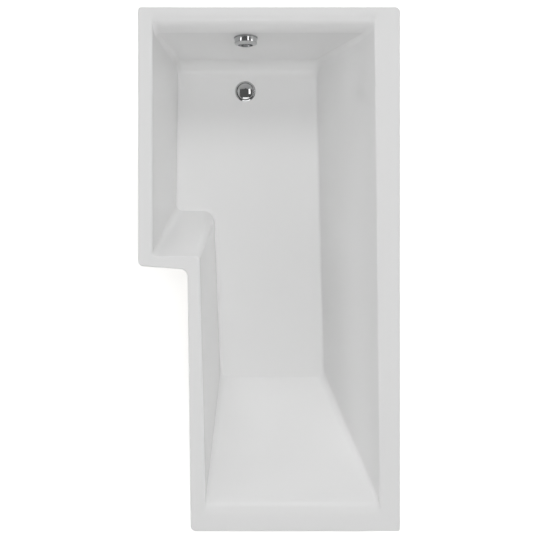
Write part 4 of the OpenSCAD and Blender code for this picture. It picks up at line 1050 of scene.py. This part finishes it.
def floor():
    """A plain pale floor. What is seen of it is lifted to white, and shadows stay on it."""
    half = FLOOR_HALF
    mesh = bpy.data.meshes.new("floor")
    mesh.from_pydata([(-half, -half, 0), (half, -half, 0), (half, half, 0), (-half, half, 0)], [],
                     [(0, 1, 2, 3)])
    piece = link("floor", mesh)
    made = bpy.data.materials.new("floor")
    made.use_nodes = True
    tree = made.node_tree
    shader = tree.nodes["Principled BSDF"]
    shader.inputs["Base Color"].default_value = (FLOOR_TONE,) * 3 + (1,)
    shader.inputs["Roughness"].default_value = 0.9
    shader.inputs["Specular IOR Level"].default_value = 0.0
    shader.inputs["Emission Color"].default_value = (1, 1, 1, 1)
    lift = number(tree, "MULTIPLY", seen(tree), FLOOR_LIFT)
    tree.links.new(lift, shader.inputs["Emission Strength"])
    mesh.materials.append(made)


def world():
    """Soft light from all round, windows for gloss alone, and white where the camera looks past."""
    made = bpy.data.worlds.new("studio")
    bpy.context.scene.world = made
    made.use_nodes = True
    tree = made.node_tree
    way = tree.nodes.new("ShaderNodeSeparateXYZ")
    generated = tree.nodes.new("ShaderNodeTexCoord").outputs["Generated"]
    tree.links.new(generated, way.inputs["Vector"])
    across = number(tree, "ARCTAN2", way.outputs["X"], way.outputs["Z"])
    share = tree.nodes.new("ShaderNodeMapRange")
    share.inputs["From Min"].default_value = -math.pi
    share.inputs["From Max"].default_value = math.pi
    tree.links.new(across, share.inputs["Value"])
    bands = tree.nodes.new("ShaderNodeValToRGB")
    stops = bands.color_ramp.elements
    most = max(level for _, level in SKY_BANDS)
    while len(stops) < len(SKY_BANDS):
        stops.new(0.5)
    for stop, (degrees, level) in zip(stops, SKY_BANDS):
        stop.position = degrees / 360 + 0.5
        stop.color = (level / most,) * 3 + (1,)
    tree.links.new(share.outputs["Result"], bands.inputs["Fac"])
    along = number(tree, "ARCTAN2", way.outputs["Y"], way.outputs["Z"])
    level = number(tree, "MULTIPLY", bands.outputs["Color"], most)
    rays = tree.nodes.new("ShaderNodeLightPath").outputs
    for x, half_w, y, half_h, strength in WINDOWS:
        near_x = number(tree, "COMPARE", across, math.radians(x), math.radians(half_w))
        near_y = number(tree, "COMPARE", along, math.radians(y), math.radians(half_h))
        window = number(tree, "MULTIPLY", number(tree, "MULTIPLY", near_x, near_y), strength)
        window = number(tree, "MULTIPLY", window, rays["Is Glossy Ray"])
        level = number(tree, "MAXIMUM", level, window)
    light = tree.nodes["Background"]
    tree.links.new(level, light.inputs["Color"])
    light.inputs["Strength"].default_value = SKY
    white = tree.nodes.new("ShaderNodeBackground")
    white.inputs["Color"].default_value = (1, 1, 1, 1)
    white.inputs["Strength"].default_value = 1.0
    mix = tree.nodes.new("ShaderNodeMixShader")
    tree.links.new(rays["Is Camera Ray"], mix.inputs["Fac"])
    tree.links.new(light.outputs["Background"], mix.inputs[1])
    tree.links.new(white.outputs["Background"], mix.inputs[2])
    tree.links.new(mix.outputs["Shader"], tree.nodes["World Output"].inputs["Surface"])


def camera():
    """Straight above the bath, as the photograph was taken."""
    data = bpy.data.cameras.new("camera")
    data.sensor_width = SENSOR
    data.lens = SENSOR * CAMERA_RISE / (PHOTO_PX * PX_M)
    data.clip_end = 50
    made = link("camera", data)
    made.location = (CAMERA_X, CAMERA_Y, RIM_Z + CAMERA_RISE)
    bpy.context.scene.camera = made


world()
floor()
camera()
for lamp in LAMPS:
    area_light(*lamp)

bpy.context.scene.view_settings.view_transform = "Standard"
